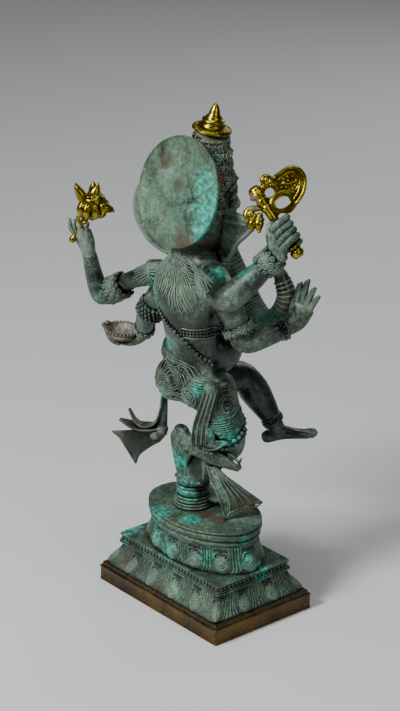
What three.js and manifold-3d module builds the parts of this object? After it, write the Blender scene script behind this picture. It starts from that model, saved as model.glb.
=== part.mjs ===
// Dancing elephant-headed figure in cast bronze, on a double lotus plinth with a polished slab.
// Millimetres, +Z up. The origin is the centre of the slab's underside, and the figure faces -Y.
// The figure stands on its right leg. Its left leg is raised across the front.
import * as THREE from 'three';
import { mergeVertices } from 'three/addons/utils/BufferGeometryUtils.js';
import Module from 'manifold-3d';

const wasm = await Module();
wasm.setup();

// Driving dimensions of the slab and the plinth
const CLEARANCE = 0.3;
const SLAB_HALF = [80, 53.8];
const SLAB_EDGE_HEIGHT = 14.5;
const SLAB_HEIGHT = 18;
const SLAB_STEP = 1.4;
const LOWER_LOTUS = { foot: [76.4, 51], neck: [66.6, 39.3], bottom: SLAB_HEIGHT + CLEARANCE, top: 39 };
const BAND_TOP = 46.7;
const BAND_INSET = 1.6;
const UPPER_LOTUS = { foot: [63.5, 37.6], neck: [57.5, 34.5], bottom: BAND_TOP, top: 70 };
const PLATFORM = { centreX: -1.5, half: [60.2, 40.3], top: 84.7 };
const PETAL_COLUMNS = 6;
const PETAL_ROWS = 3;
const LONG_SIDE_PETALS = 5;
const SHORT_SIDE_PETALS = 3;
const OVAL_PETALS = 12;

// Driving dimensions of the halo plate and the crown's cap
const HALO = { centre: [5.5, 21.5, 374.5], radius: 46.4, thickness: 3, facing: [-0.056, 0.961, 0.27] };
const CAP = { foot: [-3, -7, 424.6], radius: 16.8, height: 22.5, lean: [-0.13, -0.1, 1] };

// Joints of the figure, from the photograph and from the length of each bone
const PELVIS = [6, 3, 205];
const HIP_RIGHT = [-15, 2, 200];
const KNEE_RIGHT = [-19, -12, 149];
const ANKLE_RIGHT = [11.5, 3.5, 99];
const HEEL_RIGHT = [15, 9, 90.2];
const TOES_RIGHT = [-16, -25, 89];
const HIP_LEFT = [21, 5, 201];
const KNEE_LEFT = [7, -50, 191];
const ANKLE_LEFT = [-13, -69, 149];
const HEEL_LEFT = [-9, -64, 135.5];
const TOES_LEFT = [-35, -98, 138];
const NECK = [8, 9, 318];
const HEAD = [6, -6, 348];
const FACE_TURN = Math.PI / 10;
const TRUNK_ROOT = [17, -34, 338];
const SHOULDER_REAR_RIGHT = [-25, 12, 307];
const ELBOW_REAR_RIGHT = [-64, 28, 303];
const WRIST_REAR_RIGHT = [-89, 4, 337];
const FIST_RIGHT = [-92, -6, 358];
const SHOULDER_REAR_LEFT = [42, 14, 293];
const ELBOW_REAR_LEFT = [96, 35, 262];
const WRIST_REAR_LEFT = [96, 47, 304];
const FIST_LEFT = [98, 53, 323];
const SHOULDER_FRONT_RIGHT = [-22, 0, 292];
const ELBOW_FRONT_RIGHT = [-40, -11, 248];
const WRIST_FRONT_RIGHT = [-56, -44, 256];
const SHOULDER_FRONT_LEFT = [40, 3, 287];
const ELBOW_FRONT_LEFT = [67, 8, 243];
const WRIST_FRONT_LEFT = [82, -1, 223];

// The shafts that the two rear fists hold
const AXE_TOP = [-64, 1, 391];
const AXE_POMMEL = [-103, -12, 347];
const AXE_HAFT_RADIUS = 3.2;
const GOAD_HEAD = [90, 43, 352];
const GOAD_BUTT = [101, 60, 316];
const GOAD_SHAFT_RADIUS = 2.4;
const BOWL = { centre: [104, 6, 220.5], half: [18, 15], depth: 9, wall: 2 };

const X_AXIS = new THREE.Vector3(1, 0, 0);
const Z_AXIS = new THREE.Vector3(0, 0, 1);
const vector = (point) => new THREE.Vector3(...point);

// Solids: closed geometries are joined and cut as manifolds
function solid(geometry) {
  geometry.deleteAttribute('normal');
  geometry.deleteAttribute('uv');
  const merged = mergeVertices(geometry, 1e-4);
  return new wasm.Manifold(new wasm.Mesh({
    numProp: 3,
    vertProperties: new Float32Array(merged.attributes.position.array),
    triVerts: new Uint32Array(merged.index.array),
  }));
}

function join(solids) {
  return solids.flat(Infinity).reduce((whole, piece) => whole.add(piece));
}

function geometryOf(manifold) {
  const mesh = manifold.getMesh();
  const geometry = new THREE.BufferGeometry();
  geometry.setAttribute('position', new THREE.BufferAttribute(new Float32Array(mesh.vertProperties), 3));
  geometry.setIndex(new THREE.BufferAttribute(new Uint32Array(mesh.triVerts), 1));
  geometry.computeVertexNormals();
  return geometry;
}

// A sphere drawn out along a smooth line: its rows follow the line and its poles close the ends.
// A station is [x, y, z, half width, half depth], and the width lies along the side direction.
function limb(stations, { side = X_AXIS, sides = 8, perSpan = 1, dome = 0.5 } = {}) {
  const rows = perSpan * (stations.length - 1) + 2;
  const line = new THREE.CatmullRomCurve3(stations.map(([x, y, z]) => new THREE.Vector3(x, y, z)));
  const girth = new THREE.CatmullRomCurve3(
    stations.map(([, , , wide, deep = wide]) => new THREE.Vector3(wide, deep, 0)));
  const geometry = new THREE.SphereGeometry(1, sides, rows);
  const corner = new THREE.Vector3();
  const corners = geometry.attributes.position;
  for (let i = 0; i < corners.count; i += 1) {
    corner.fromBufferAttribute(corners, i);
    const row = Math.round(Math.acos(THREE.MathUtils.clamp(corner.y, -1, 1)) / Math.PI * rows);
    const t = THREE.MathUtils.clamp((row - 1) / (rows - 2), 0, 1);
    const along = line.getTangent(t);
    const across = side.clone().addScaledVector(along, -side.dot(along)).normalize();
    const deep = along.clone().cross(across);
    const size = girth.getPoint(t);
    const centre = line.getPoint(t);
    if (row === 0 || row === rows) {
      centre.addScaledVector(along, (row === 0 ? -dome : dome) * Math.min(size.x, size.y));
    } else {
      const ring = Math.hypot(corner.x, corner.z);
      centre.addScaledVector(across, corner.x / ring * size.x);
      centre.addScaledVector(deep, corner.z / ring * size.y);
    }
    corners.setXYZ(i, centre.x, centre.y, centre.z);
  }
  return solid(geometry);
}

function ball(centre, radii, { sides = 8, rows = 5 } = {}) {
  const geometry = new THREE.SphereGeometry(1, sides, rows);
  geometry.rotateX(Math.PI / 2);
  geometry.scale(...radii);
  geometry.translate(...centre);
  return solid(geometry);
}

const between = (from, to, t) => from.map((value, i) => value + (to[i] - value) * t);
const direction = (from, to) => to.map((value, i) => value - from[i]);
const station = (point, ...radii) => [...point, ...radii];
const shifted = (point, by) => point.map((value, i) => value + by[i]);

// Layered work: each layer of a unit box or cylinder takes its own half sizes and height
function layered(geometry, layers, centreX = 0) {
  const corners = geometry.attributes.position;
  for (let i = 0; i < corners.count; i += 1) {
    const [halfX, halfY, height] = layers[Math.round((corners.getZ(i) + 0.5) * (layers.length - 1))];
    corners.setXYZ(i, centreX + corners.getX(i) * halfX, corners.getY(i) * halfY, height);
  }
  return solid(geometry);
}

function rectangularStack(layers) {
  return layered(new THREE.BoxGeometry(2, 2, 1, 1, 1, layers.length - 1), layers);
}

function ovalStack(layers, centreX) {
  const geometry = new THREE.CylinderGeometry(1, 1, 1, 32, layers.length - 1);
  return layered(geometry.rotateX(Math.PI / 2), layers, centreX);
}

// The petals of a tier: how far a column stands out, by its place on the petal and its height.
// A petal is broad and round at its foot; a narrow fluted leaf fills the gap to the next.
function petalRelief(place, height) {
  const petalHalf = 0.4;
  const across = Math.abs(place) / petalHalf;
  const petal = across < 1 ? Math.sqrt(1 - across * across) : 0;
  const leaf = 0.3 * Math.max(0, 1 - Math.abs(Math.abs(place) - 0.5) / 0.1);
  return Math.max(petal, leaf) * (1 - height) ** 0.6 * Math.min(1, 0.35 + 3 * height);
}

// A tier of petals: a cylinder whose columns follow the outline and whose rows go up the flank
function lotusTier(tier, columns, outline, relief) {
  const geometry = new THREE.CylinderGeometry(1, 1, 1, columns, PETAL_ROWS);
  geometry.rotateX(Math.PI / 2);
  const corners = geometry.attributes.position;
  for (let i = 0; i < corners.count; i += 1) {
    const height = corners.getZ(i) + 0.5;
    const isAxis = Math.hypot(corners.getX(i), corners.getY(i)) < 0.5;
    const turn = (Math.atan2(corners.getY(i), corners.getX(i)) / (2 * Math.PI) + 1) % 1;
    const column = Math.round(turn * columns) % columns;
    const { point, outward } = outline(column, 1 - (1 - height) ** 1.4);
    const along = column / PETAL_COLUMNS;
    const push = relief * petalRelief(along - Math.round(along), height);
    const [x, y] = isAxis ? [0, 0] : point.map((value, k) => value + outward[k] * push);
    corners.setXYZ(i, x, y, tier.bottom + height * (tier.top - tier.bottom));
  }
  return solid(geometry);
}

const halfAt = (tier, rise) => tier.foot.map((foot, i) => foot + (tier.neck[i] - foot) * rise);

// The rectangular outline starts at the +X corner on the +Y side and runs anticlockwise
function rectangularOutline(column, rise) {
  const longColumns = LONG_SIDE_PETALS * PETAL_COLUMNS;
  const shortColumns = SHORT_SIDE_PETALS * PETAL_COLUMNS;
  const half = halfAt(LOWER_LOTUS, rise);
  const turns = [[longColumns, [1, 1], [-1, 1]], [shortColumns, [-1, 1], [-1, -1]],
    [longColumns, [-1, -1], [1, -1]], [shortColumns, [1, -1], [1, 1]]];
  let rest = column;
  let side = 0;
  while (rest >= turns[side][0]) {
    rest -= turns[side][0];
    side += 1;
  }
  const [count, from, to] = turns[side];
  const point = between(from, to, rest / count).map((value, i) => value * half[i]);
  const straight = side % 2 === 0 ? [0, from[1]] : [from[0], 0];
  return { point, outward: rest === 0 ? from.map((value) => value * 0.75) : straight };
}

function ovalOutline(column, rise) {
  const angle = column / (OVAL_PETALS * PETAL_COLUMNS) * 2 * Math.PI;
  const [halfX, halfY] = halfAt(UPPER_LOTUS, rise);
  const outward = [Math.cos(angle), Math.sin(angle)];
  return { point: [PLATFORM.centreX + outward[0] * halfX, outward[1] * halfY], outward };
}

function buildSlab() {
  const [x, y] = SLAB_HALF;
  return rectangularStack([
    [x, y, 0],
    [x, y, SLAB_EDGE_HEIGHT],
    [x - SLAB_STEP * 0.6, y - SLAB_STEP * 0.6, SLAB_EDGE_HEIGHT + 0.8],
    [x - SLAB_STEP, y - SLAB_STEP, SLAB_HEIGHT],
  ]);
}

function buildPlinth() {
  const [neckX, neckY] = LOWER_LOTUS.neck.map((value) => value + 1);
  const [ovalX, ovalY] = PLATFORM.half;
  const rectangularColumns = 2 * (LONG_SIDE_PETALS + SHORT_SIDE_PETALS) * PETAL_COLUMNS;
  const lower = lotusTier(LOWER_LOTUS, rectangularColumns, rectangularOutline, 5);
  const band = rectangularStack([
    [neckX - 1, neckY - 1, LOWER_LOTUS.top - 2],
    [neckX + 0.6, neckY + 0.6, LOWER_LOTUS.top - 0.6],
    [neckX + 0.6, neckY + 0.6, LOWER_LOTUS.top + 0.8],
    [neckX - 0.6, neckY - 0.6, LOWER_LOTUS.top + 1.6],
    [neckX - 0.6, neckY - 0.6, BAND_TOP - 2.2],
    [neckX, neckY, BAND_TOP - 1.6],
    [neckX - BAND_INSET, neckY - BAND_INSET, BAND_TOP],
  ]);
  const upperTier = { ...UPPER_LOTUS, bottom: BAND_TOP - 0.5 };
  const upper = lotusTier(upperTier, OVAL_PETALS * PETAL_COLUMNS, ovalOutline, 4.4);
  const platform = ovalStack([
    [ovalX - 4, ovalY - 5, UPPER_LOTUS.top - 3],
    [ovalX - 0.6, ovalY - 1.6, UPPER_LOTUS.top + 1],
    [ovalX - 2.6, ovalY - 3.2, UPPER_LOTUS.top + 5],
    [ovalX, ovalY, UPPER_LOTUS.top + 7.5],
    [ovalX, ovalY, PLATFORM.top - 1.6],
    [ovalX - 1, ovalY - 1, PLATFORM.top],
  ], PLATFORM.centreX);
  return join([lower, band, upper, platform]);
}

// Torso with its belly, buttocks and the arch of the back
function buildTorso() {
  return [
    limb([station(PELVIS, 29, 22), [7, 5, 234, 25, 20], [7, 5, 236, 27, 22], [7, 5, 240, 27, 22],
      [7.4, 5.5, 242, 25, 20], [9, 9, 262, 27, 20], [8, 12, 286, 35, 20],
      [6, 12, 303, 33, 15], station(NECK, 17, 14)], { sides: 12 }),
    ball([5, -15, 230], [26, 25, 25], { sides: 10, rows: 6 }),
    ball([21.5, 9.5, 201.5], [21.5, 20, 20.5], { sides: 10, rows: 6 }),
    ball([-10, 9, 202], [19, 18, 20]),
  ];
}

function buildLegs() {
  const foot = (ankle, heel, toes) => [
    limb([station(heel, 6, 5), station(shifted(between(heel, toes, 0.35), [0, 0, 2.5]), 7, 6.5),
      station(between(heel, toes, 0.75), 8.5, 3.8), station(toes, 7, 2.6)],
    { sides: 6 }),
    limb([station(ankle, 7.5), station(shifted(between(heel, toes, 0.3), [0, 0, 3]), 7, 6)], { sides: 6 }),
  ];
  const [ankleX, ankleY, ankleZ] = ANKLE_RIGHT;
  return [
    limb([station(HIP_RIGHT, 20), [-20, -3, 176, 18, 17], [-20, -9, 161, 15], [-20, -10, 159, 17], [-20, -11, 155, 16.5],
      station(KNEE_RIGHT, 14.5), [-11, -7, 138, 13], [2, 0, 122, 13.5], [ankleX, ankleY, ankleZ + 7, 10],
      [ankleX, ankleY, ankleZ + 4, 14.5], [ankleX + 1, ankleY, ankleZ, 14], [ankleX + 1, ankleY, ankleZ - 1.5, 11],
      [ankleX + 1, ankleY, ankleZ - 3, 15.5], [ankleX + 1, ankleY, ankleZ - 7.5, 15], [ankleX + 1, ankleY, ankleZ - 9, 9]],
    { dome: 0 }),
    limb([station(HIP_LEFT, 20, 19), [17, -22, 197, 18, 17], station(between(HIP_LEFT, KNEE_LEFT, 0.8), 15),
      station(KNEE_LEFT, 12.5), [1, -59, 176, 13.5], [-11, -67, 154, 8], [-11.5, -67.5, 153, 10],
      [-13, -69, 150, 10], [-13, -69, 148, 7.5]]),
    foot(ANKLE_RIGHT, HEEL_RIGHT, TOES_RIGHT),
    foot(ANKLE_LEFT, HEEL_LEFT, TOES_LEFT),
  ];
}

function buildArms() {
  const ring = (from, to, t, radius, width) => [
    station(between(from, to, t - width), radius - 3), station(between(from, to, t - width * 0.6), radius),
    station(between(from, to, t + width * 0.6), radius), station(between(from, to, t + width), radius - 3)];
  return [
    limb([station(SHOULDER_REAR_RIGHT, 14), [-46, 21, 306, 12.5], station(ELBOW_REAR_RIGHT, 11.5), [-77, 16, 319, 10.5],
      ...ring(ELBOW_REAR_RIGHT, WRIST_REAR_RIGHT, 0.85, 11, 0.1), station(FIST_RIGHT, 8)], { side: Z_AXIS }),
    limb([station(SHOULDER_REAR_LEFT, 11), [70, 24, 279, 7.5], ...ring([70, 24, 279], ELBOW_REAR_LEFT, 0.55, 11.5, 0.2),
      station(ELBOW_REAR_LEFT, 8.5), [97, 41, 281, 7.6], station(WRIST_REAR_LEFT, 6), station(FIST_LEFT, 6.5)],
    { side: new THREE.Vector3(0, 1, 0), sides: 7 }),
    limb([station(SHOULDER_FRONT_RIGHT, 13), ...ring(SHOULDER_FRONT_RIGHT, ELBOW_FRONT_RIGHT, 0.75, 13, 0.08),
      station(ELBOW_FRONT_RIGHT, 9.5), [-49, -28, 251, 8.5], ...ring(ELBOW_FRONT_RIGHT, WRIST_FRONT_RIGHT, 0.9, 9.5, 0.1)],
    { side: Z_AXIS, sides: 7 }),
    limb([station(SHOULDER_FRONT_LEFT, 12), ...ring(SHOULDER_FRONT_LEFT, ELBOW_FRONT_LEFT, 0.8, 12, 0.09),
      station(ELBOW_FRONT_LEFT, 9), station(WRIST_FRONT_LEFT, 6.5), [88, -1, 218, 6]], { side: Z_AXIS, sides: 7 }),
  ];
}

// The open right hand, palm to the front, with its fingers up
function buildOpenHand() {
  const across = new THREE.Vector3(-0.55, 0.35, 0.1);
  const palm = limb([station(WRIST_FRONT_RIGHT, 6, 4.5), [-60, -51, 266, 8.5, 4], [-63, -56, 276, 9, 3.5]], { side: across, sides: 6 });
  const fingers = [-1.5, -0.5, 0.5, 1.5].map((place) => {
    const root = shifted([-63, -56, 275], [place * -4, place * 2.6, 0]);
    const reach = 19 - Math.abs(place + 0.3) * 2.4;
    return limb([station(root, 2.6), station(shifted(root, [-3.5 + place * -1.4, -4.5, reach]), 1.8)], { sides: 4 });
  });
  const thumb = limb([[-55, -52, 264, 3], [-50, -57, 272, 2.6], [-49, -60, 279, 1.9]], { sides: 4 });
  return [palm, fingers, thumb];
}

// A fist round a shaft: its four fingers show as ribs side by side along the shaft
function buildFist(centre, shaft, size) {
  const ribs = [-2.1, -1.8, -1.4, -1, -0.6, -0.2, 0.2, 0.6, 1, 1.4, 1.8];
  const along = vector(shaft).normalize();
  return limb(ribs.map((place, i) => {
    const middle = vector(centre).addScaledVector(along, place * size * 0.8).toArray();
    return station(middle, size * (i % 2 === 0 ? 1.1 : 1.4), size * (i % 2 === 0 ? 1.2 : 1.5));
  }), { sides: 7, dome: 0.2 });
}

// A point of the face: forward from the head's middle, aside towards the figure's left, and up
function onFace(forward, aside, rise) {
  const sine = Math.sin(FACE_TURN);
  const cosine = Math.cos(FACE_TURN);
  return shifted(HEAD, [forward * sine + aside * cosine, aside * sine - forward * cosine, rise]);
}

function buildHead() {
  const skull = limb([[8, -3, 322, 17], [7, -6, 340, 26], [5, -6, 356, 27, 26], [4, -6, 368, 24, 23]], { sides: 10 });
  const forehead = ball(onFace(17, 0, 4), [15, 12, 13]);
  const trunk = limb([station(onFace(15, 0, -6), 15, 13), station(TRUNK_ROOT, 12), [21, -39, 324, 10.5],
    [22, -41, 309, 10.5], [17, -46, 291, 10.5], [6, -50, 272, 10.5], [-4, -52, 257, 10.5], [-18, -53, 249, 10.5],
    [-34, -55, 258, 10.5], [-45, -56, 279, 9.5], [-42, -53, 297, 7], [-38, -52, 303, 5.5]],
  { side: new THREE.Vector3(0, 1, 0.2), sides: 7 });
  const tusks = [-1, 1].map((side) =>
    limb([station(onFace(22, 10 * side, -17), 4), station(onFace(40, 14 * side, -21), 2)], { sides: 4 }));
  const eyes = [-1, 1].map((side) => ball(onFace(23.5, 13 * side, 0), [4.5, 4, 2.8], { sides: 6, rows: 4 }));
  return [skull, forehead, trunk, tusks, eyes];
}

// An ear: a leaf-shaped plate spread from the side of the head
function ear(outline, outward, thickness) {
  const shape = new THREE.Shape();
  shape.moveTo(...outline[0]);
  shape.splineThru(outline.slice(1).map(([u, v]) => new THREE.Vector2(u, v)));
  const geometry = new THREE.ExtrudeGeometry(shape, { depth: thickness, bevelEnabled: false, curveSegments: 2 });
  geometry.translate(0, 0, -thickness / 2);
  const across = vector(outward).normalize();
  const up = Z_AXIS.clone().addScaledVector(across, -across.z).normalize();
  geometry.applyMatrix4(new THREE.Matrix4().makeBasis(across, up, across.clone().cross(up)));
  geometry.translate(...HEAD);
  return solid(geometry);
}

function buildEars() {
  const rightOutline = [[16, 12], [34, 12], [50, 12], [63, 8], [56, -1], [44, -12], [35, -26], [25, -33], [16, -26], [12, 0]];
  const leftOutline = [[16, 22], [34, 25], [52, 24], [60, 12], [61, -4], [55, -19], [44, -31], [30, -36], [18, -26], [12, 0]];
  return [ear(rightOutline, [-1, 0.02, 0], 3.4), ear(leftOutline, [0.86, 0.5, 0], 3.4)];
}

// The crown: narrowing tiers up to the seat of the gold cap, each with a ring of pointed leaves.
// A layer is [x, y, z, radius, leaf], and every second column of a layer rises into a leaf.
function buildCrown() {
  const layers = [[6, -6, 352, 22, 0], [5, -5.5, 361, 29, 0], [5, -5.5, 366, 29, 0], [5, -5.5, 367, 26, 0],
    [4, -5.5, 375, 26.5, 7], [4, -5.5, 374, 23, 0], [3, -5.5, 384, 22, 0], [3, -5.5, 386, 24, 0], [2, -6, 394, 22.5, 6],
    [2, -6, 394, 20, 0], [0.5, -6, 402, 18.5, 0], [0, -6, 409, 18.6, 4], [-1, -6.4, 410, 15.5, 0],
    [-2.5, -6.8, 420.5, 13.5, 0]];
  const geometry = new THREE.CylinderGeometry(1, 1, 1, 16, layers.length - 1);
  geometry.rotateX(Math.PI / 2);
  const corners = geometry.attributes.position;
  for (let i = 0; i < corners.count; i += 1) {
    const [x, y, z, radius, leaf] = layers[Math.round((corners.getZ(i) + 0.5) * (layers.length - 1))];
    const turn = Math.round(Math.atan2(corners.getY(i), corners.getX(i)) / (2 * Math.PI) * 16);
    const rise = turn % 2 === 0 ? leaf : 0;
    const reach = radius + rise * 0.15;
    corners.setXYZ(i, x + corners.getX(i) * reach, y + corners.getY(i) * reach, z + rise);
  }
  return solid(geometry);
}

// Locks of hair that fall from under the halo over the shoulders and the back
function buildHair() {
  const locks = 5;
  return Array.from({ length: locks }, (_, i) => {
    const across = i / (locks - 1) * 2 - 1;
    const start = [9 - 13 * across, 20.5 - 5 * across * across, 322];
    const middle = [9 - 29 * across, 29 - 9 * across * across, 304 + 5 * across];
    const end = [12 - 34 * across, 31 - 9 * across * across, 278 + 7 * Math.abs(across)];
    return limb([station(start, 5, 3), station(middle, 6.5, 4), station(end, 3, 2.4)], { sides: 4 });
  });
}

// Cords on the body: the beaded thread and the hip band
function buildCords() {
  const thread = limb([[33, 22, 275, 2], [28, 29, 262, 2], [21, 28, 246, 2], [10, 26, 230, 2], [-6, 25, 219, 2],
    [-20, 18, 214, 2]], { sides: 4 });
  const hipBand = limb([[34, 18, 216, 3, 2], [14, 30, 217, 3, 2], [-8, 28, 216, 3, 2], [-27, 17, 213, 3, 2]],
    { sides: 4, side: Z_AXIS });
  return [thread, hipBand];
}

// The cloth of the standing leg: a roundel on the thigh, an open wrap round the calf and its flaring end
function buildLegCloth() {
  const roundel = ball([-31, 6, 181], [8, 7, 12], { sides: 8 });
  const lobe = limb([[15, 12, 155, 8, 6], [15, 12, 147, 12, 8], [16, 10, 124, 9, 6.5], [14, 7, 106, 6, 7]]);
  const archSide = limb([[4, 13, 146, 5, 3.4], [2, 13.5, 134, 3], [3, 12, 120, 2.2], [6, 11, 106, 2.4]], { sides: 5 });
  const upperEnd = limb([[10, 13, 147, 6, 4], [-6, 12, 144, 8, 5], [-25, 3, 139, 7, 4], [-41, -4, 134, 3.4, 2]],
    { sides: 6, side: Z_AXIS });
  return [roundel, lobe, archSide, upperEnd];
}

// A sheet of cloth with a thickness, from the corners of its outline
function sheet(outline, thickness) {
  const corners = outline.map(vector);
  const origin = corners[0];
  const u = corners[1].clone().sub(origin).normalize();
  const normal = new THREE.Vector3();
  corners.forEach((corner, i) => {
    normal.add(corner.clone().sub(origin).cross(corners[(i + 1) % corners.length].clone().sub(origin)));
  });
  normal.normalize();
  u.addScaledVector(normal, -u.dot(normal)).normalize();
  const v = normal.clone().cross(u);
  const flat = corners.map((corner) => {
    const offset = corner.clone().sub(origin);
    return new THREE.Vector2(offset.dot(u), offset.dot(v));
  });
  const geometry = new THREE.ExtrudeGeometry(new THREE.Shape(flat), { depth: thickness, bevelEnabled: false });
  geometry.translate(0, 0, -thickness / 2);
  geometry.applyMatrix4(new THREE.Matrix4().makeBasis(u, v, normal));
  geometry.translate(...outline[0]);
  return solid(geometry);
}

function buildFlyingCloth() {
  const skirtNear = sheet([[-10, 11, 134], [-13, 9, 118], [-25, 7, 98], [-31.5, 5, 86.5], [-36, -1, 96], [-24, 3, 118],
    [-17, 5, 134]], 3);
  const skirtFar = sheet([[-15, 5, 133], [-23, 4, 118], [-34, 0, 99], [-42, -14, 93], [-44, -28, 94], [-44, -28, 98],
    [-32, -8, 118]], 3);
  const tails = limb([[-31, 15, 212, 6, 3], [-25, 18, 196, 6, 3.4], [-15, 16.5, 172, 6.5, 3.4], [-5, 13, 150, 6.5, 2.6]],
    { side: new THREE.Vector3(0.6, 0.7, 0.2), sides: 5 });
  const ribbon = limb([[33, 17, 190, 3, 1.8], [35, 18, 172, 5, 1.6], [40, 21, 157, 5, 1.5], [51, 24, 151, 5, 1.5],
    [60, 27, 154, 4.5, 1.4], [67, 28, 162, 3, 1.3]], { side: new THREE.Vector3(0.6, -0.8, 0), sides: 4 });
  const leaf = limb([[38, 16, 152, 5, 3], [50, 21, 149, 7, 3], [62, 26, 148, 6.5, 2.6], [74, 31, 149, 2.5, 1.5]],
    { side: new THREE.Vector3(0.5, -0.8, 0.2), sides: 4 });
  const tail = sheet([[34, 11, 145], [46, 17, 148], [86, 34, 136], [84, 33, 133], [70, 28, 130], [64, 28, 128], [61, 28, 113],
    [58, 27, 112], [50, 23, 126], [37, 16, 138]], 3);
  const strap = limb([[35, 15, 178, 3.5, 3], [37, 15, 160, 4.5, 4], [39, 16, 147, 5, 5], [44, 19, 142, 4, 4]], { sides: 5 });
  return [skirtNear, skirtFar, tails, ribbon, leaf, tail, strap];
}

const buildShaft = (from, to, radius) => limb([station(from, radius), station(to, radius)], { sides: 7 });

function buildFigure() {
  const whole = join([
    buildTorso(),
    buildLegs(),
    buildArms(),
    buildOpenHand(),
    buildFist(FIST_RIGHT, direction(AXE_POMMEL, AXE_TOP), 7.6),
    buildFist(FIST_LEFT, direction(GOAD_BUTT, GOAD_HEAD), 5.4),
    buildHead(),
    buildEars(),
    buildCrown(),
    buildHair(),
    buildCords(),
    buildLegCloth(),
    buildFlyingCloth(),
  ]);
  return whole
    .subtract(axeHandle(CLEARANCE))
    .subtract(goadHandle(CLEARANCE))
    .subtract(bowlBlock(CLEARANCE))
    .subtract(haloSeat())
    .subtract(capSeat(CLEARANCE));
}

// The axe: a haft with a pommel and a finial, and a pierced crescent blade with a scrolled back.
// The blade's outline is drawn outwards from the haft and up along it.
function axeHandle(extra = 0) {
  return join([
    buildShaft(AXE_POMMEL, AXE_TOP, AXE_HAFT_RADIUS + extra),
    ball(AXE_POMMEL, [5.5 + extra, 5.5 + extra, 4.6 + extra], { sides: 8 }),
  ]);
}

function buildAxe() {
  const along = vector(direction(AXE_POMMEL, AXE_TOP)).normalize();
  const out = new THREE.Vector3(-12.7, -25.5, 15.5);
  out.addScaledVector(along, -out.dot(along)).normalize();
  const shape = new THREE.Shape();
  shape.moveTo(0, -10);
  shape.quadraticCurveTo(9, -8, 16, -14);
  shape.quadraticCurveTo(34, -10, 41, 4);
  shape.quadraticCurveTo(41, 22, 18, 18);
  shape.quadraticCurveTo(14, 25, 9.5, 18);
  shape.quadraticCurveTo(8, 13, 0, 13);
  shape.lineTo(-4, 8);
  shape.quadraticCurveTo(-9, 12, -13, 5);
  shape.quadraticCurveTo(-20, -2, -15, -11);
  shape.quadraticCurveTo(-8, -9, -5, -4);
  shape.closePath();
  [[10.8, 9, 3.4, 3], [13.8, -4.2, 4, 2.8]].forEach(([u, v, halfU, halfV]) => {
    const hole = new THREE.Path();
    hole.absellipse(u, v, halfU, halfV, 0, 2 * Math.PI, true, 0);
    shape.holes.push(hole);
  });
  const geometry = new THREE.ExtrudeGeometry(shape, { depth: 3, bevelEnabled: false, curveSegments: 3 });
  geometry.translate(0, 0, -1.5);
  geometry.applyMatrix4(new THREE.Matrix4().makeBasis(out, along, out.clone().cross(along)));
  geometry.translate(...between(AXE_POMMEL, AXE_TOP, 0.74));
  return join([axeHandle(), ball(AXE_TOP, [5, 5, 5.6], { sides: 8 }), solid(geometry)]);
}

// The goad in the left hand: a knotted head with pointed petals
function goadHandle(extra = 0) {
  return join([
    buildShaft(GOAD_BUTT, GOAD_HEAD, GOAD_SHAFT_RADIUS + extra),
    ball(GOAD_BUTT, [3.4 + extra, 3.4 + extra, 3.4 + extra], { sides: 6, rows: 4 }),
  ]);
}

function buildGoad() {
  const petals = [[8, 12, 13], [-5, 5, 14], [-13, -9, -3], [11, 5, -7], [-2, 10, -8]].map((reach) =>
    limb([station(shifted(GOAD_HEAD, reach.map((value) => value * 0.4)), 6), station(shifted(GOAD_HEAD, reach), 2.6)],
      { sides: 6, dome: 1.2 }));
  return join([goadHandle(), ball(GOAD_HEAD, [11.5, 10, 11]), petals]);
}

// The bowl in the left hand: an open oval dish, its rim wide and its foot small
function bowlOf(profile) {
  const { centre, half } = BOWL;
  const dish = new THREE.LatheGeometry(profile.map(([r, z]) => new THREE.Vector2(r, z)), 16);
  dish.rotateX(Math.PI / 2);
  dish.scale(1, half[1] / half[0], 1);
  dish.translate(...centre);
  return solid(dish);
}

function buildBowl() {
  const { half: [rim], depth, wall } = BOWL;
  return bowlOf([[0, -depth], [rim * 0.5, -depth], [rim * 0.85, -depth * 0.6], [rim, -1], [rim, 0], [rim - wall, 0],
    [rim * 0.85 - wall, -depth * 0.5], [rim * 0.5 - wall * 0.5, wall - depth], [0, wall - depth]]);
}

function bowlBlock(extra) {
  const { half: [rim], depth } = BOWL;
  return bowlOf([[0, -depth - extra], [rim * 0.5 + extra, -depth - extra], [rim * 0.85 + extra, -depth * 0.6],
    [rim + extra, -1], [rim + extra, 2], [0, 2]]);
}

// The halo: a flat round plate with a raised rim, leaning forward behind the head
function facingBack(profile) {
  const { centre, facing } = HALO;
  const plate = new THREE.LatheGeometry(profile.map(([r, z]) => new THREE.Vector2(r, z)), 28);
  plate.applyQuaternion(new THREE.Quaternion().setFromUnitVectors(new THREE.Vector3(0, 1, 0), vector(facing).normalize()));
  plate.translate(...centre);
  return solid(plate);
}

function buildHalo() {
  const { radius, thickness } = HALO;
  const half = thickness / 2;
  return facingBack([[0, -half], [radius - 1, -half], [radius, 0], [radius - 1, half], [radius - 3.5, half - 0.8],
    [0, half - 0.8]]);
}

// All that lies behind the head's side of the plate is kept clear
function haloSeat() {
  const front = -HALO.thickness / 2 - CLEARANCE;
  const reach = HALO.radius + CLEARANCE;
  return facingBack([[0, front], [reach, front], [reach, 25], [0, 25]]);
}

// The gold cap: a wide brim and a ringed cone on the crown's top
function turnedOnCrown(profile) {
  const { foot, lean } = CAP;
  const turned = new THREE.LatheGeometry(profile.map(([r, z]) => new THREE.Vector2(r, z)), 12);
  turned.applyQuaternion(new THREE.Quaternion().setFromUnitVectors(new THREE.Vector3(0, 1, 0), vector(lean).normalize()));
  turned.translate(...foot);
  return solid(turned);
}

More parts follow.
